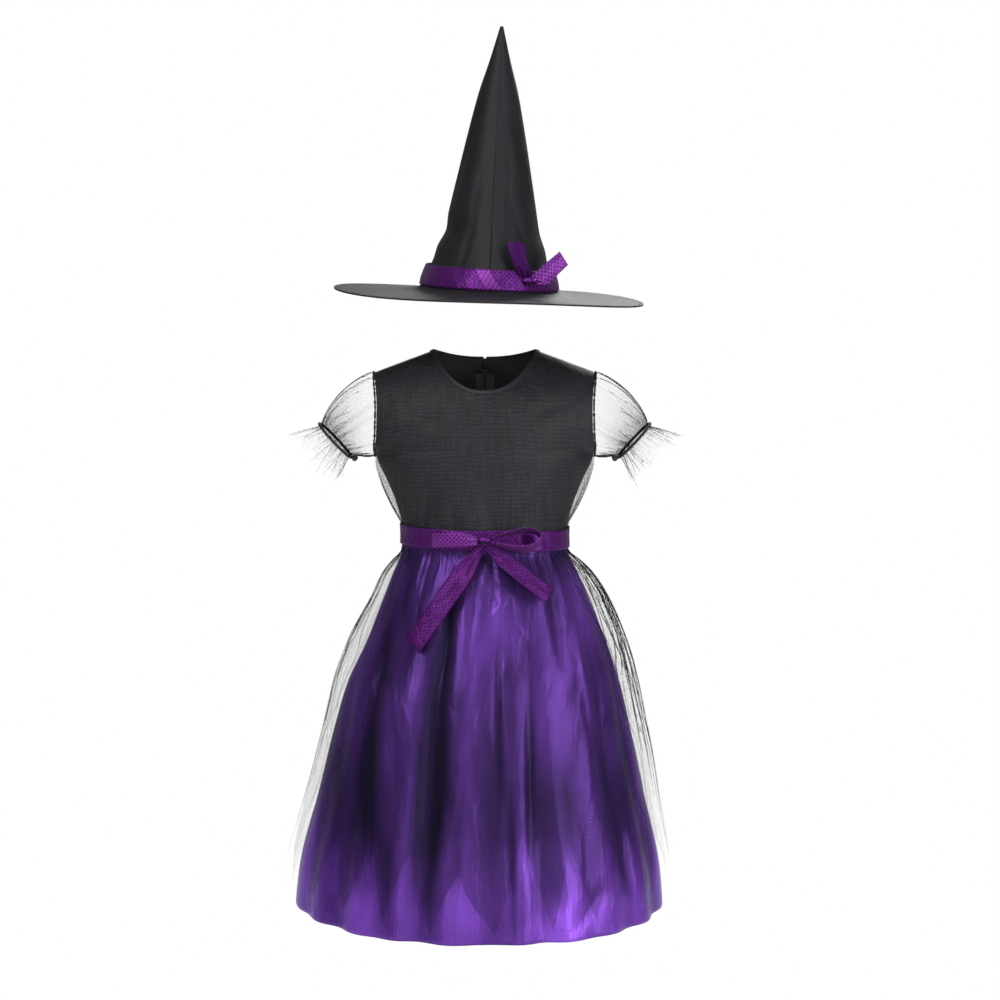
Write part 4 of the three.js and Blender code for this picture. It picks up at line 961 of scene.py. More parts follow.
def net_folds(name, place, routes, seed, wander=1.5):
    """Thin tapering strips over a cloth, each from and to an angle and a row, with its width."""
    rng = np.random.default_rng(seed)
    points, faces, uv = [], [], []
    t = np.linspace(0, 1, STRIP_STEPS)
    for number, (from_angle, from_v, to_angle, to_v, width) in enumerate(routes):
        sway = wander * np.sin(t * rng.uniform(4, 9) + rng.uniform(0, 6))
        line = place(mix(from_angle, to_angle, t) + sway, mix(from_v, to_v, t))
        tangent = np.gradient(line, axis=0)
        tangent /= np.linalg.norm(tangent, axis=1, keepdims=True)
        side = np.cross(tangent, (0.02, 1, 0.05))
        side /= np.linalg.norm(side, axis=1, keepdims=True)
        over = np.cross(side, tangent)
        radius = (width / 2 * (0.35 + 0.65 * np.sin(np.pi * np.clip(t * 0.8 + 0.2, 0, 1))))[:, None]
        wide, thick = side * radius, over * radius * 0.6
        ring = [line + wide, line + thick, line - wide, line - thick]
        first = len(points) * 4 * STRIP_STEPS
        points.append(np.stack(ring, axis=1).reshape(-1, 3))
        length = np.concatenate([[0], np.cumsum(np.linalg.norm(np.diff(line, axis=0), axis=1))])
        for k in range(STRIP_STEPS - 1):
            for c in range(4):
                a, b = first + 4 * k + c, first + 4 * k + (c + 1) % 4
                faces.append((b, a, a + 4, b + 4))
                low, high = length[k] * MM, length[k + 1] * MM
                across = number * STRIP_APART
                uv += [(low, across), (low, across), (high, across), (high, across)]
        faces.append((first, first + 1, first + 2, first + 3))
        last = first + 4 * (STRIP_STEPS - 1)
        faces.append((last + 3, last + 2, last + 1, last))
        uv += [(0, 0)] * 8
    return made(name, np.concatenate(points), faces, uv, folded_net, "black_net")


rng = np.random.default_rng(31)
for name, hand in (("left", 1), ("right", -1)):
    wisps = []
    for turn in rng.uniform(0, 360, 46):
        reach = rng.uniform(2.1, 3.0) if rng.uniform() < 0.8 else 3.25
        wisps.append((turn, 0.86, turn + rng.uniform(-16, 16), reach, rng.uniform(0.35, 0.75)))
    wisps += [(4, 0.95, 2, 3.3, 0.7), (-6, 0.95, -12, 3.2, 0.6), (178, 0.95, 170, 2.9, 0.6)]
    net_folds(f"sleeve_folds_{name}", sleeve(hand), SLEEVE_FOLDS + wisps, 40 + hand)

side_folds, belt_folds, bodice_folds = [], [], []
for middle, count, width in ((90, 30, 0.8), (-90, 22, 0.5)):
    for turn in rng.normal(middle, 13, count):
        end = turn + rng.uniform(-9, 9)
        side_folds.append((turn, 0.975, end, rng.uniform(0.0, 0.55), width * rng.uniform(0.5, 1.3)))
    for turn in rng.normal(middle, 7, 9):
        bodice_folds.append((turn, 0.02, turn + rng.uniform(-3, 3), rng.uniform(0.5, 0.98), 0.45))
for turn in rng.uniform(-180, 180, 120):
    end, reach = turn + rng.uniform(-1.5, 1.5), rng.uniform(0.86, 0.95)
    belt_folds.append((turn, 0.965, end, reach, 0.4 + 0.4 * abs(sine(turn))))
net_folds("skirt_side_folds", net_skirt, side_folds, 51, 3.2)
net_folds("skirt_belt_folds", net_skirt, belt_folds, 52, 0.3)
net_folds("bodice_side_folds", net_bodice, bodice_folds, 53, 1.0)

# Armhole seams: the sleeve, the net and the satin overlocked together with black thread, which leaves a soft
# lumpy ridge all round each armhole.
look = Look("overlocked_thread")
u, v = look.cloth_place()
loops = (u * 3.0).wave() * 0.5 + 0.5
overlock = look.finish({
    "Base Color": look.colours((0.006, 0.006, 0.007), (0.025, 0.025, 0.028), loops),
    "Roughness": 0.8,
    "Normal": look.bump(loops, 0.4),
})


def armhole_ridge(hand):
    def seat(angle, turn):
        """angle runs round the armhole, turn round the ridge."""
        lumps = 0.5 * sine(angle * 31 + 40) * sine(angle * 7) + 0.35 * sine(angle * 53 + 90 * hand)
        thick = 1.5 + 0.9 * lumps
        z = mix(UNDERARM, SHOULDER_TIP, 0.5 + 0.5 * cosine(angle))
        arm = torso(np.where(sine(angle) >= 0, 90 - 1e-4, 90 + 1e-4), z)
        arm[..., 0] = hand * (arm[..., 0] + NET_OUT + 0.3 + thick * sine(turn) * 0.7)
        arm[..., 1] -= sine(angle) * thick * cosine(turn)
        arm[..., 2] += cosine(angle) * thick * cosine(turn)
        return arm
    return seat


# Once round a cord is about 10 mm. Every small form's UV map takes that as its way up.
ROUND_CORD = 10.0


def grid_piece(name, place, across, up, material, slot, nodes=(), loop_up=False):
    """A smooth closed form over a grid of points that runs right round, and round again where it says so."""
    points = place(*np.meshgrid(across[:-1], up[:-1] if loop_up else up))
    tall, wide = points.shape[:2]
    cells = [(r, c) for r in range(tall if loop_up else tall - 1) for c in range(wide)]
    faces = [(r * wide + c, r * wide + (c + 1) % wide, (r + 1) % tall * wide + (c + 1) % wide,
              (r + 1) % tall * wide + c) for r, c in cells]
    step_u = np.linalg.norm(points[0, 0] - points[0, wide // 2]) * math.pi / wide * MM
    step_v = ROUND_CORD / tall * MM
    corner = ((0, 0), (1, 0), (1, 1), (0, 1))
    uv = [((c + right) * step_u, (r + over) * step_v) for r, c in cells for right, over in corner]
    return made(name, points, faces, uv, material, slot, nodes)


# Sleeve cords: round black elastic with a fine braid. Each lies over the gathered net of its sleeve and is
# tied below the arm in a small knot.
CORD = {"thick": 3.2, "away": 1.95, "knot": 2.8}
look = Look("covered_elastic")
u, v = look.cloth_place()
braid = ((u * 2.2 + v * 2.2).wave() * (u * 2.2 - v * 2.2).wave()).absolute()
elastic = look.finish({
    "Base Color": look.colours((0.004, 0.004, 0.005), (0.014, 0.014, 0.017), braid),
    "Roughness": 0.6,
    "Normal": look.bump(braid, 0.3),
})


def cord_ring(hand):
    def seat(angle, turn):
        """angle runs round the arm, turn round the cord."""
        point = cuff_point(hand, angle, CORD["away"] + CORD["thick"] / 2 * cosine(turn))
        beside = CORD["thick"] / 2 * sine(turn)
        point[..., 0] += hand * cuff_out[0] * beside
        point[..., 2] += cuff_out[1] * beside
        return point
    return seat


def lump(centre, size, wrinkle):
    """A small knot: a ball with soft folds over it."""
    def seat(angle, height):
        ring = np.sqrt(np.maximum(1e-6, 1 - height ** 2))
        r = size * (1 + wrinkle * sine(2 * angle + 180 * height) + wrinkle / 2 * sine(5 * angle))
        return np.stack([centre[0] + cosine(angle) * ring * r, centre[1] + sine(angle) * ring * r,
                         centre[2] + height * size], axis=-1)
    return seat


def ball_rows(count):
    """Heights from -1 to 1 that are even round a ball."""
    return np.sin(np.linspace(-np.pi / 2, np.pi / 2, count))


# Each side gets its cord, the cord's knot and then its armhole seam.
for name, hand in (("left", 1), ("right", -1)):
    around = np.linspace(0, 360, 97)[::hand]
    grid_piece(f"cord_{name}", cord_ring(hand), around, np.linspace(0, 360, 17)[::-1], elastic,
               "elastic_cord", [f"sleeve_cord_{name}"], loop_up=True)
    knot_place = cuff_point(hand, np.array(165.0), CORD["away"] + CORD["knot"] - CORD["thick"] / 2)
    knot = lump(knot_place - np.array([4.0 * hand, 1.0, 0]), CORD["knot"] * 1.25, 0.14)
    grid_piece(f"cord_knot_{name}", knot, np.linspace(0, 360, 25), ball_rows(17), elastic, "elastic_cord")
    around = np.linspace(0, 360, 241)[::hand]
    grid_piece(f"armhole_seam_{name}", armhole_ridge(hand), around, np.linspace(0, 360, 9)[::-1], overlock,
               "black_net", loop_up=True)

# Belt: purple satin ribbon with small dark dots, woven with a fine rib. It is laid over the waist seam in two
# lengths and caught down at the side seams.
RIBBON_WIDTH = 22.0
RIBBON_FACES = (2.2, 1.75)
BELT = {"middle": -195.5, "rise": 2.5}
BODICE_ROW_ABOVE = mix(WAIST, UNDERARM, 0.17)
DOTS = {"pitch": (5.2, 2.6), "radius": 0.92, "colour": (0.012, 0.004, 0.022)}


def ribbon_look(name, dark, light, dots=True):
    look = Look(name)
    u, v = look.cloth_place()
    pitch_u, pitch_v = DOTS["pitch"]
    shift = ((v / pitch_v).floor() * 0.5).fraction()
    du = ((u / pitch_u + shift).fraction() - 0.5) * pitch_u
    dv = ((v / pitch_v).fraction() - 0.5) * pitch_v
    spot = (du * du + dv * dv) < DOTS["radius"] ** 2
    streaks = look.noise(0.8, 30.0)
    grain = look.noise(0.7, 0.9, 1.0)
    shade = (streaks * 0.6 + grain * 0.6 - 0.1).within()
    base = look.colours(dark, light, shade)
    if dots:
        base = look.colours(base, DOTS["colour"], spot * 0.95)
    ribs = (v * (2 * math.pi / 0.5)).wave()
    relief = look.bump(look.noise(12.0, 16.0), 1.6)
    relief = look.bump(ribs, 0.03, 0.5, relief)
    return look.finish({
        "Base Color": base,
        "Roughness": 0.32 + streaks * 0.08,
        "Metallic": 0.5,
        "Specular IOR Level": 0.12,
        "Sheen Weight": 0.03,
        "Normal": relief,
    })


ribbon = ribbon_look("dotted_ribbon", (0.045, 0.004, 0.076), (0.14, 0.016, 0.22))
# A lighter copy of the same ribbon for the bow's loops and the hat ribbon's ends: painted light.
ribbon_painted_lighter = ribbon_look("ribbon_painted_light", (0.075, 0.010, 0.115), (0.25, 0.045, 0.36))
# A darker copy of the same ribbon for the bow's tails: painted shade.
ribbon_painted_darker = ribbon_look("ribbon_painted_darker", (0.026, 0.002, 0.046), (0.095, 0.007, 0.15))
ribbon_back = ribbon_look("ribbon_plain_back", (0.016, 0.001, 0.03), (0.06, 0.004, 0.10), dots=False)


def waistband(angle, v):
    """The belt's seat: the bodice above the waist seam and the skirt below it."""
    z = BELT["middle"] - BELT["rise"] * sine(angle) + (v - 0.5) * RIBBON_WIDTH
    z = z + 0.5 * sine(5 * angle + 30) + 0.3 * sine(9 * angle)
    t_up = np.clip((z - WAIST) / (BODICE_ROW_ABOVE - WAIST), 0, 1)[..., None]
    t_down = np.clip((WAIST - z) / (WAIST - BELT_LOW), 0, 1)[..., None]
    level = np.full(z.shape, 1.0)
    upper = mix(torso(angle, WAIST * level), torso(angle, BODICE_ROW_ABOVE * level), t_up)
    lower = mix(skirt_ring(angle, WAIST * level, 0), skirt_ring(angle, BELT_LOW * level, 0), t_down)
    point = np.where((z > WAIST)[..., None], upper, lower)
    point[..., 2] = z
    return point


def belt_seam(normals, angle, v):
    normals[..., 1] = np.where(np.abs(cosine(angle)) < 1e-3, 0, normals[..., 1])
    return normals


for side, (start, end) in HALVES.items():
    cloth(f"ribbon_{side}", waistband, np.linspace(start, end, 181), np.linspace(0, 1, 13), RIBBON_FACES,
          ribbon, "dotted_ribbon", [f"belt_{side}"], seam=belt_seam)

# Bow: the belt's ribbon tied in front, with a pinched knot, one loop pressed flat and one open, and two free
# tails of uneven length. The loops are coloured lighter than the belt as painted light, and the tails darker
# as painted shade.
BOW_KNOT = {"x": 0.0, "y": -79.3, "z": -194.5, "wide": 14.0, "deep": 10.6, "tall": 12.0}
FLAT_LOOP = table(
    "run x y z half lean",
    (0, -7.4, -82.5, -194, 4, 0),
    (1, -20, -84, -193, 7.5, 8),
    (2, -38, -80, -193.5, 8.5, 10),
    (3, -54, -73.5, -194.5, 8.5, 10),
    (4, -58, -70.5, -195, 8.5, 10),
    (5, -54, -68.5, -195, 8.5, 10),
    (6, -38, -74, -195, 8, 8),
    (7, -20, -77.5, -195, 6.5, 4),
    (8, -7.4, -78.5, -195, 4, 0),
)
OPEN_LOOP = table(
    "run x y z half lean",
    (0, 7.3, -80.5, -195.5, 4, 62),
    (1, 20, -82, -199.5, 7.5, 62),
    (2, 36, -82, -202.5, 9.5, 60),
    (3, 50, -80, -202, 10, 60),
    (4, 59, -78.5, -196, 10, 62),
    (5, 61, -78, -190, 10, 64),
    (6, 55, -78.5, -185, 10, 66),
    (7, 42, -80, -183.5, 9.5, 66),
    (8, 24, -80.5, -187, 7.5, 66),
    (9, 7.3, -79.5, -192.5, 4, 66),
)
TAILS = {
    "right": {"from": (-2.6, -200.8), "to": (-78, -306), "half": 10.5, "top": 3.2, "bow": 5, "end": 2,
              "cut": (0.14, 0.022, 0.0028, "hung")},
    "left": {"from": (2.6, -200.8), "to": (71, -253), "half": 8.5, "top": 5, "bow": 3, "end": 14,
             "cut": (0.095, 0.022, 0.0016, "hung")},
}
TAIL_PINCH = 0.36


def bow_loop(rows):
    def seat(run, v):
        """run follows the ribbon round the loop, v goes across it."""
        lean = np.radians(along(rows, "lean", run))
        reach = v * along(rows, "half", run)
        pinch = 1 - np.clip(np.minimum(run, rows["run"][-1] - run) / 1.6, 0, 1)
        ripple = 0.8 * pinch * np.cos(v * 7) + 1.8 * (1 - v * v) * np.sin(np.pi * np.clip(run / 4, 0, 1))
        x = along(rows, "x", run)
        y = along(rows, "y", run) - np.sin(lean) * reach - ripple * np.cos(lean)
        return np.stack([x, y, along(rows, "z", run) + np.cos(lean) * reach - ripple * np.sin(lean)], axis=-1)
    return seat


def tail_seat(tail):
    (x0, z0), (x1, z1) = tail["from"], tail["to"]
    run_length = math.hypot(x1 - x0, z1 - z0)
    square = (-(z1 - z0) / run_length, (x1 - x0) / run_length)

    def seat(v, back_run):
        """v goes across the tail, back_run from 0 at its end to 1 at the knot."""
        run = 1 - back_run
        half = tail["half"] * mix(TAIL_PINCH, 1, np.clip(run * 4, 0, 1))
        x = mix(x0, x1, run) + square[0] * v * half
        z = mix(z0, z1, run) + square[1] * v * half
        wide = along(SKIRT_RINGS, "half", z) + 12
        deep = along(SKIRT_RINGS, "front", z) + NET_STAND_MIDDLE["front"] + NET_WAVE
        skirt = -deep * (1 - np.clip(np.abs(x) / wide, 0, 1) ** BODY_SQUARE) ** (1 / BODY_SQUARE)
        off = mix(tail["top"], tail["end"], run) + tail["bow"] * np.sin(np.pi * run)
        crease = 0.9 * np.cos(v * 6) * np.clip(1 - run * 3, 0, 1)
        return np.stack([x, skirt - off - crease, z], axis=-1)
    return seat


RIBBON_SHELL = (0.75, 0.3)
# The loops wear the lighter copy of the ribbon, as painted light, and the tails the darker copy, as painted
# shade.
for name, rows in (("right", FLAT_LOOP), ("left", OPEN_LOOP)):
    cloth(f"loop_{name}", bow_loop(rows), np.linspace(0, rows["run"][-1], 100), np.linspace(-1, 1, 17),
          RIBBON_SHELL, ribbon_painted_lighter, "dotted_ribbon", [f"bow_loop_{name}"])
for name, tail in TAILS.items():
    cloth(f"tail_{name}", tail_seat(tail), np.linspace(-1, 1, 17), np.linspace(0, 1, 80), RIBBON_SHELL,
          ribbon_painted_darker, "dotted_ribbon", [f"bow_tail_{name}"])


def knot_seat(size):
    """A knot pulled tight: a rounded form, narrower in the middle, with slanting wrinkles round it."""
    def seat(angle, height):
        up = np.clip(height, -1, 1)
        ring = np.sqrt(np.maximum(1e-6, 1 - up ** 2)) ** 0.8
        x, y = cosine(angle) * ring * 0.5, sine(angle) * ring * 0.5
        waist = 0.86 + 0.5 * x * x
        wrinkle = 1 - 0.07 * np.exp(-((up * 3 + 3 * x) % 1 - 0.5) ** 2 / 0.02)
        point = [size["x"] + x * size["wide"], size["y"] + y * size["deep"] * waist * wrinkle,
                 size["z"] + up * 0.5 * size["tall"] * waist * wrinkle]
        return np.stack(point, axis=-1)
    return seat


grid_piece("knot", knot_seat(BOW_KNOT), np.linspace(0, 360, 49), ball_rows(33), ribbon, "dotted_ribbon",
           ["bow_knot"])

# Hat: a tall crown of two black satin panels over a thin stiffening, on a wide wired brim that flares up to
# meet it.
HAT = {"place": (5.0, 0.0, 79.5), "pitch": 2.7, "tilt": 2.8}
CROWN_RINGS = table(
    "h half deep",
    (0, 76.5, 92),
    (4, 75.3, 90.5),
    (28.5, 64, 78),
    (45.5, 59.5, 72),
    (61.5, 53.5, 65),
    (80.5, 49.5, 59),
    (123.5, 41, 48),
    (171.5, 31.3, 36),
    (214.5, 21.7, 24),
    (249.5, 11.5, 12.5),
    (286.5, 1.7, 1.8),
)
CROWN_DENTS = [(-70, 62, 4, 30, 12), (35, 100, 2.5, 25, 20), (-25, 40, 2.5, 22, 14), (140, 70, 3.5, 30, 18),
               (-150, 120, 2.5, 30, 22)]
CROWN_START = -0.8
BRIM = {"half": 172.0, "deep": 178.0, "rise": 5.0, "flare": 9.0, "drop": 2.0, "wave": 1.6, "waves": 3}

# Fine creases of the crown by angle and height: from and to, depth and half width in millimetres.
CROWN_CREASES = [
    (-30, 30, -22, 120, 0.9, 5), (-60, 45, -40, 70, 1.2, 5), (20, 30, 24, 150, 0.9, 5),
    (48, 40, 30, 84, 1.0, 5), (-12, 120, -8, 220, 0.6, 4), (60, 110, 40, 180, 0.8, 5),
    (-70, 110, -50, 190, 0.8, 5), (10, 200, 4, 260, 0.5, 3), (120, 40, 132, 120, 1.0, 6),
    (160, 60, 170, 190, 0.9, 5), (-120, 40, -140, 130, 1.1, 6), (-165, 90, -172, 200, 0.7, 4),
]
RADIAN = 57.3


def in_hat(points):
    """From the hat's own upright frame to the costume's."""
    turned = [sine(HAT["pitch"]), cosine(HAT["pitch"]), sine(HAT["tilt"]), cosine(HAT["tilt"])]
    pitch_s, pitch_c, tilt_s, tilt_c = turned
    about_x = np.array([[1, 0, 0], [0, pitch_c, -pitch_s], [0, pitch_s, pitch_c]])
    about_y = np.array([[tilt_c, 0, tilt_s], [0, 1, 0], [-tilt_s, 0, tilt_c]])
    return points @ (about_x @ about_y).T + np.array(HAT["place"])


def crown_form(angle, h):
    """The crown's own form, with its broad dents, by angle and height over the brim."""
    dent = 0
    for at, high, depth, spread, tall in CROWN_DENTS:
        turn = (np.abs((angle - at + 540) % 360) - 180) / spread
        dent = dent + depth * np.exp(-turn * turn - ((h - high) / tall) ** 2)
    half = along(CROWN_RINGS, "half", h) - dent
    return np.stack([sine(angle) * half, -cosine(angle) * (along(CROWN_RINGS, "deep", h) - dent), h], axis=-1)


def crown(angle, h):
    signed = np.where(angle > 180, angle - 360, angle)
    half = along(CROWN_RINGS, "half", h)
    deep = 0
    for a0, h0, a1, h1, depth, width in CROWN_CREASES:
        t = np.clip((h - h0) / (h1 - h0), 0, 1)
        off = (signed - mix(a0, a1, t)) * half / RADIAN / width
        past = (np.maximum(0, h0 - h) + np.maximum(0, h - h1)) / 12
        deep = deep + depth * np.exp(-off * off - past ** 2)
    point = crown_form(angle, h)
    off_seams = np.clip(np.abs(sine(angle)) / 0.12, 0, 1)
    point[..., :2] *= (1 - deep * off_seams / np.maximum(half, 4))[..., None]
    return in_hat(point)


def crown_seam(normals, angle, v):
    normals[..., 0] = np.where(np.abs(sine(angle)) < 1e-3, 0, normals[..., 0])
    return normals


hat_satin = satin("hat_satin", (0.0055, 0.0055, 0.0075), (0.0125, 0.012, 0.0155), 0.55, 0.0, 1.6, 0.2)
crown_rows = np.concatenate([np.linspace(CROWN_START, 100, 50), np.linspace(100, 286.5, 71)[1:]])
for name, start, end in (("left", 0, 180), ("right", 180, 360)):
    cloth(f"crown_{name}", crown, np.linspace(start, end, 81), crown_rows, (0, -0.8), hat_satin,
          "black_satin", [f"hat_crown_{name}"], seam=crown_seam)


def brim(angle, v):
    """v runs from 0 at the outer edge to 1 at the crown."""
    x = sine(angle) * mix(BRIM["half"], CROWN_RINGS["half"][0] - 1, v)
    y = -cosine(angle) * mix(BRIM["deep"], CROWN_RINGS["deep"][0] - 1, v)
    away = (BRIM["half"] - CROWN_RINGS["half"][0]) * (1 - v)
    wave = BRIM["wave"] * (1 - v) * sine(angle * BRIM["waves"] + 40)
    rise = BRIM["rise"] * (1 - np.exp(-away / BRIM["flare"]))
    ripple = 0.35 * sine(angle * 14 + 20) * (1 - v) * v * 4 + 0.4 * gathers(angle, 40, 9) * np.exp(-away / 14)
    edge = 0.7 * np.exp(-away / 2.5)
    return in_hat(np.stack([x, y, wave - rise - BRIM["drop"] * (1 - v) - ripple + edge], axis=-1))


brim_rows = [np.linspace(0, 0.1, 9), np.linspace(0.1, 0.8, 20)[1:], np.linspace(0.8, 1, 15)[1:]]
cloth("brim", brim, np.linspace(0, 360, 241), np.concatenate(brim_rows), (0, -1.6), hat_satin, "black_satin",
      ["hat_brim"], closed=True)

# Hat ribbon: the same dotted ribbon round the foot of the crown, loose at its upper edge, with a small knot
# and two free ends at the wearer's left front.
BAND = {"low": 1.5, "high": 23.5, "loose": 4.0, "bulge": 0.75, "inner": 1.0}
HAT_KNOT = {"x": 41.0, "z": 13.0, "wide": 10.0, "deep": 7.0, "tall": 9.0, "off": 3.1}


def band_form(angle, v):
    """The ribbon's seat round the crown, which stands off more towards its upper edge."""
    h = mix(BAND["low"], BAND["high"], v)
    point = crown_form(angle, h)
    loose = BAND["loose"] * v + BAND["bulge"] * np.sin(np.pi * v)
    out = point[..., :2] / np.linalg.norm(point[..., :2], axis=-1, keepdims=True)
    point[..., 0] += out[..., 0] * loose
    point[..., 1] += out[..., 1] * loose
    return point


cloth("band", lambda angle, v: in_hat(band_form(angle, v)), np.linspace(0, 360, 241), np.linspace(0, 1, 13),
      (BAND["inner"] + 0.7, BAND["inner"] + 0.25), ribbon, "dotted_ribbon", ["hat_band"],
      closed=True)
BAND_END = {"from": -14.0, "wide": 13.0, "lean": 12.0}


def band_end(across, v):
    """The ribbon's folded end, lying slantwise on the band in front."""
    return in_hat(band_form(BAND_END["from"] + BAND_END["wide"] * across + BAND_END["lean"] * (1 - v), v))


# The folded end wears the lighter copy of the ribbon, as painted light.
cloth("band_end", band_end, np.linspace(0, 1, 21), np.linspace(0.03, 0.98, 13), (2.5, 2.05), ribbon_painted_lighter,
      "dotted_ribbon", [])
knot_turn = math.degrees(math.asin(HAT_KNOT["x"] / CROWN_RINGS["half"][1]))
band_y = float(band_form(np.array(knot_turn), np.array(0.5))[1])
HAT_KNOT["y"] = band_y - HAT_KNOT["deep"] / 2 - HAT_KNOT["off"]
hat_knot_seat = knot_seat(HAT_KNOT)
grid_piece("hat_ribbon_knot", lambda a, h: in_hat(hat_knot_seat(a, h)), np.linspace(0, 360, 41),
           ball_rows(25), ribbon, "dotted_ribbon", ["hat_knot"])
HAT_TAILS = {
    "up": table("run x behind h half turn", (0, 38, 0, 18.1, 5, 8), (1, 34.5, -2, 28, 9, 10),
                (2, 29, -1, 41, 9.3, 6), (3, 26, 3, 54, 9.3, 2)),
    "side": table("run x behind h half turn", (0, 47.4, -1, 13.5, 5, 40), (1, 56, -1, 17, 9.5, 38),
                  (2, 67, 5, 28, 9, 48), (3, 79, 11, 39.5, 8.5, 55)),
}


def hat_tail(rows):
    def seat(v, run):
        """v goes across the free end, run from the knot outwards."""
        turn = np.radians(along(rows, "turn", run))
        reach = along(rows, "half", run) * v
        y = HAT_KNOT["y"] + along(rows, "behind", run) - 0.8 * np.cos(v * 6) * np.clip(1 - run, 0, 1)
        return in_hat(np.stack([along(rows, "x", run) + np.cos(turn) * reach, y,
                                along(rows, "h", run) - np.sin(turn) * reach], axis=-1))
    return seat


# The side end wears the lighter copy of the ribbon, as painted light.
for name, shown in (("up", ribbon_back), ("side", ribbon_painted_lighter)):
    cloth(f"hat_end_{name}", hat_tail(HAT_TAILS[name]), np.linspace(-1, 1, 17), np.linspace(0, 3, 50),
          RIBBON_SHELL, shown, "dotted_ribbon", [f"hat_tail_{name}"])

# Zip: black woven tapes sewn inside the centre back, with a nylon coil between them. The lacquered slider
# stands at the top with its pull tab, which turns on the slider.
look = Look("zip_tape_weave")
place = look.node("TexCoord", out=3)
bars = look.node("TexWave", {"wave_type": "BANDS", "bands_direction": "Z"}, {"Vector": place, "Scale": 400.0})
tape_weave = look.finish({
    "Base Color": look.colours((0.022, 0.022, 0.026), (0.06, 0.06, 0.068), bars),
    "Roughness": 0.8,
    "Normal": look.bump(bars, 0.1),
})


def worn_look(name, scale, dark, light, smoothest, roughest, metallic=0.0):
    """A small hard or twisted thing whose colour and gloss vary a little over it."""
    look = Look(name)
    place = look.node("TexCoord", out=3)
    worn = look.node("TexNoise", inputs={"Vector": place, "Scale": scale, "Detail": 2.0})
    return look.finish({
        "Base Color": look.colours(dark, light, worn),
        "Roughness": smoothest + worn * (roughest - smoothest),
        "Metallic": metallic,
    })


lacquer = worn_look("black_lacquer", 900.0, (0.008, 0.008, 0.009), (0.03, 0.03, 0.033), 0.25, 0.5, 0.6)
nylon = worn_look("black_nylon", 2500.0, (0.008, 0.008, 0.009), (0.028, 0.028, 0.031), 0.4, 0.6)
for node in ("zip_tape_left", "zip_tape_right", "zip_slider", "zip_pull"):
    materials = bpy.data.objects[node].data.materials
    materials.clear()
    materials.append(tape_weave if "tape" in node else lacquer)


def stitch_tree():
    """Geometry nodes that set a small rounded stitch on each point, turned along the point's own way."""
    tree = bpy.data.node_groups.new("one_stitch_on_each_point", "GeometryNodeTree")
    asked = {"Geometry": "Geometry", "Thickness, width and length": "Vector", "Thread": "Material"}
    for label, kind in asked.items():
        tree.interface.new_socket(label, in_out="INPUT", socket_type="NodeSocket" + kind)
    tree.interface.new_socket("Geometry", in_out="OUTPUT", socket_type="NodeSocketGeometry")
    given, made = tree.nodes.new("NodeGroupInput"), tree.nodes.new("NodeGroupOutput")

    def step(kind, settings=None, inputs=None):
        node = tree.nodes.new(kind)
        for key, value in (settings or {}).items():
            setattr(node, key, value)
        for key, value in (inputs or {}).items():
            if isinstance(value, bpy.types.NodeSocket):
                tree.links.new(value, node.inputs[key])
            else:
                node.inputs[key].default_value = value
        return node.outputs[0]

    ball = step("GeometryNodeMeshUVSphere", inputs={"Segments": 8, "Rings": 4, "Radius": 0.5})
    ball = step("GeometryNodeSetShadeSmooth", inputs={"Geometry": ball})
    ball = step("GeometryNodeTransform", inputs={"Geometry": ball, "Scale": given.outputs[1]})
    ahead = step("GeometryNodeInputNamedAttribute", {"data_type": "FLOAT_VECTOR"}, {"Name": "ahead"})
    turn = step("FunctionNodeAlignRotationToVector", {"axis": "Z"}, {"Vector": ahead})
    row = step("GeometryNodeInstanceOnPoints",
               inputs={"Points": given.outputs[0], "Instance": ball, "Rotation": turn})
    row = step("GeometryNodeRealizeInstances", inputs={"Geometry": row})
    row = step("GeometryNodeSetMaterial", inputs={"Geometry": row, "Material": given.outputs[2]})
    tree.links.new(row, made.inputs[0])
    return tree


one_stitch = stitch_tree()


def stitches(name, centres, directions, size, material):
    """A row of small rounded stitches or teeth as one mesh: size is thickness, width and length."""
    points = bpy.data.meshes.new(name)
    points.from_pydata((centres * MM).tolist(), [], [])
    ahead = points.attributes.new("ahead", "FLOAT_VECTOR", "POINT")
    ahead.data.foreach_set("vector", np.asarray(directions, float).ravel())
    piece = bpy.data.objects.new(name, points)
    scene.collection.objects.link(piece)
    sewing = piece.modifiers.new("sewing", "NODES")
    sewing.node_group = one_stitch
    _, size_socket, thread_socket = [item.identifier for item in one_stitch.interface.items_tree
                                     if item.in_out == "INPUT"]
    sewing[size_socket] = [length * MM for length in size]
    sewing[thread_socket] = material
    ready = bpy.context.evaluated_depsgraph_get()
    sewn = bpy.data.meshes.new_from_object(piece.evaluated_get(ready), depsgraph=ready)
    piece.modifiers.clear()
    piece.data = sewn
    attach(piece, "costume")
    return piece


TEETH = {"pitch": 1.15, "from": -190.0, "to": 0.6, "inside": 2.1, "apart": 0.55}
tooth_z = np.arange(TEETH["from"], TEETH["to"], TEETH["pitch"] / 2)
hand_of = np.where(np.arange(len(tooth_z)) % 2, 1.0, -1.0)
teeth = torso_at(np.full(tooth_z.shape, True), hand_of * TEETH["apart"], tooth_z)
teeth[:, 1] -= TEETH["inside"]
stitches("zip_coil", teeth, np.tile([1.0, 0, 0], (len(teeth), 1)), (0.95, 1.1, 2.6), nylon)

ZIP_BACKING = {"half": 2.6, "top": 0.3}


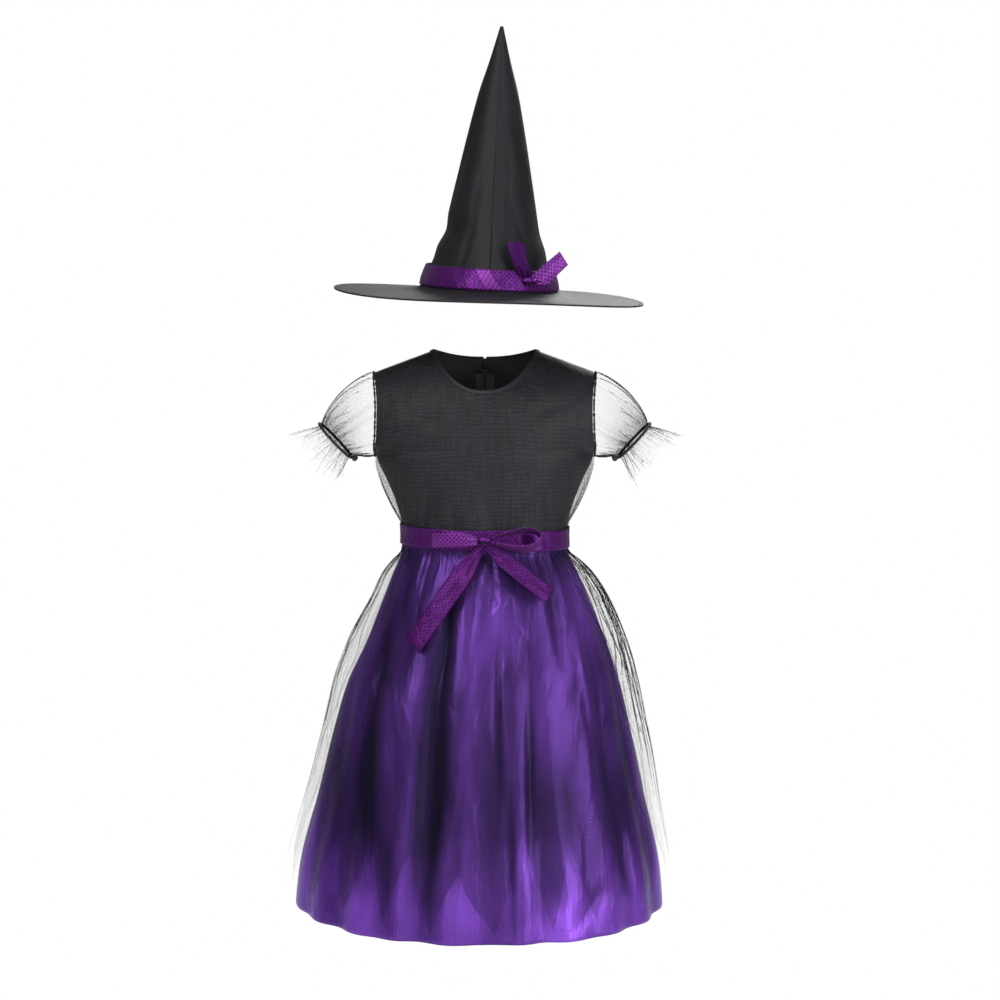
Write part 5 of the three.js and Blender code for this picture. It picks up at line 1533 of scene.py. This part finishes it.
def zip_backing(x, v):
    """The strip of tape behind the coil, from the waist to the neck."""
    return torso_at(np.full(x.shape, True), x, mix(TEETH["from"], ZIP_BACKING["top"], v))


cloth("zip_backing", zip_backing, np.linspace(1, -1, 7) * ZIP_BACKING["half"], np.linspace(0, 1, 60),
      (-0.7, -1.1), tape_weave, "zip_tape", [])

# Stitches: a hem stitched in purple thread, a topstitch in black round the neck binding, and one round the
# edge of the brim.
purple_thread = worn_look("purple_thread", 3000.0, (0.02, 0.006, 0.05), (0.06, 0.02, 0.14), 0.7, 0.7)
HEM_STITCH = {"count": 74, "up": 0.03}
NECK_STITCH = {"front": 66, "back_left": 24, "back_right": 24, "up": 0.2, "facing": (110, 60), "rise": 0.3}
BRIM_STITCH = {"count": 220, "in": 0.035}
for side, (start, end) in HALVES.items():
    turns = np.linspace(start, end, HEM_STITCH["count"])[1:-1]
    seat = satin_skirt(side)
    centres = seat(turns, np.full(turns.shape, HEM_STITCH["up"]))
    ahead = seat(turns + 0.4, np.full(turns.shape, HEM_STITCH["up"])) - centres
    stitches(f"hem_stitches_{side}", centres, ahead, (0.7, 0.7, 2.8), purple_thread)
for part, (back, columns) in NECK_PARTS.items():
    seat = neck_strip(back)
    turns = between(columns, NECK_STITCH[part])
    low = np.full(turns.shape, NECK_STITCH["up"])
    centres = seat(turns, low)
    ahead = seat(turns + 0.2, low) - centres
    level_out = centres[:, :2] / NECK_STITCH["facing"]
    out = np.column_stack([level_out, np.full(turns.shape, NECK_STITCH["rise"])])
    centres += out / np.linalg.norm(out, axis=1, keepdims=True) * BINDING_FACES[0]
    stitches(f"neck_stitches_{part}", centres, ahead, (0.5, 0.5, 2.0), nylon)
turns = np.linspace(0, 360, BRIM_STITCH["count"] + 1)[:-1]
at = np.full(turns.shape, BRIM_STITCH["in"])
centres = brim(turns, at)
ahead = brim(turns + 0.5, at) - centres
stitches("brim_stitches", centres + np.array([0, 0, 0.1]), ahead, (0.55, 0.55, 3.0), nylon)
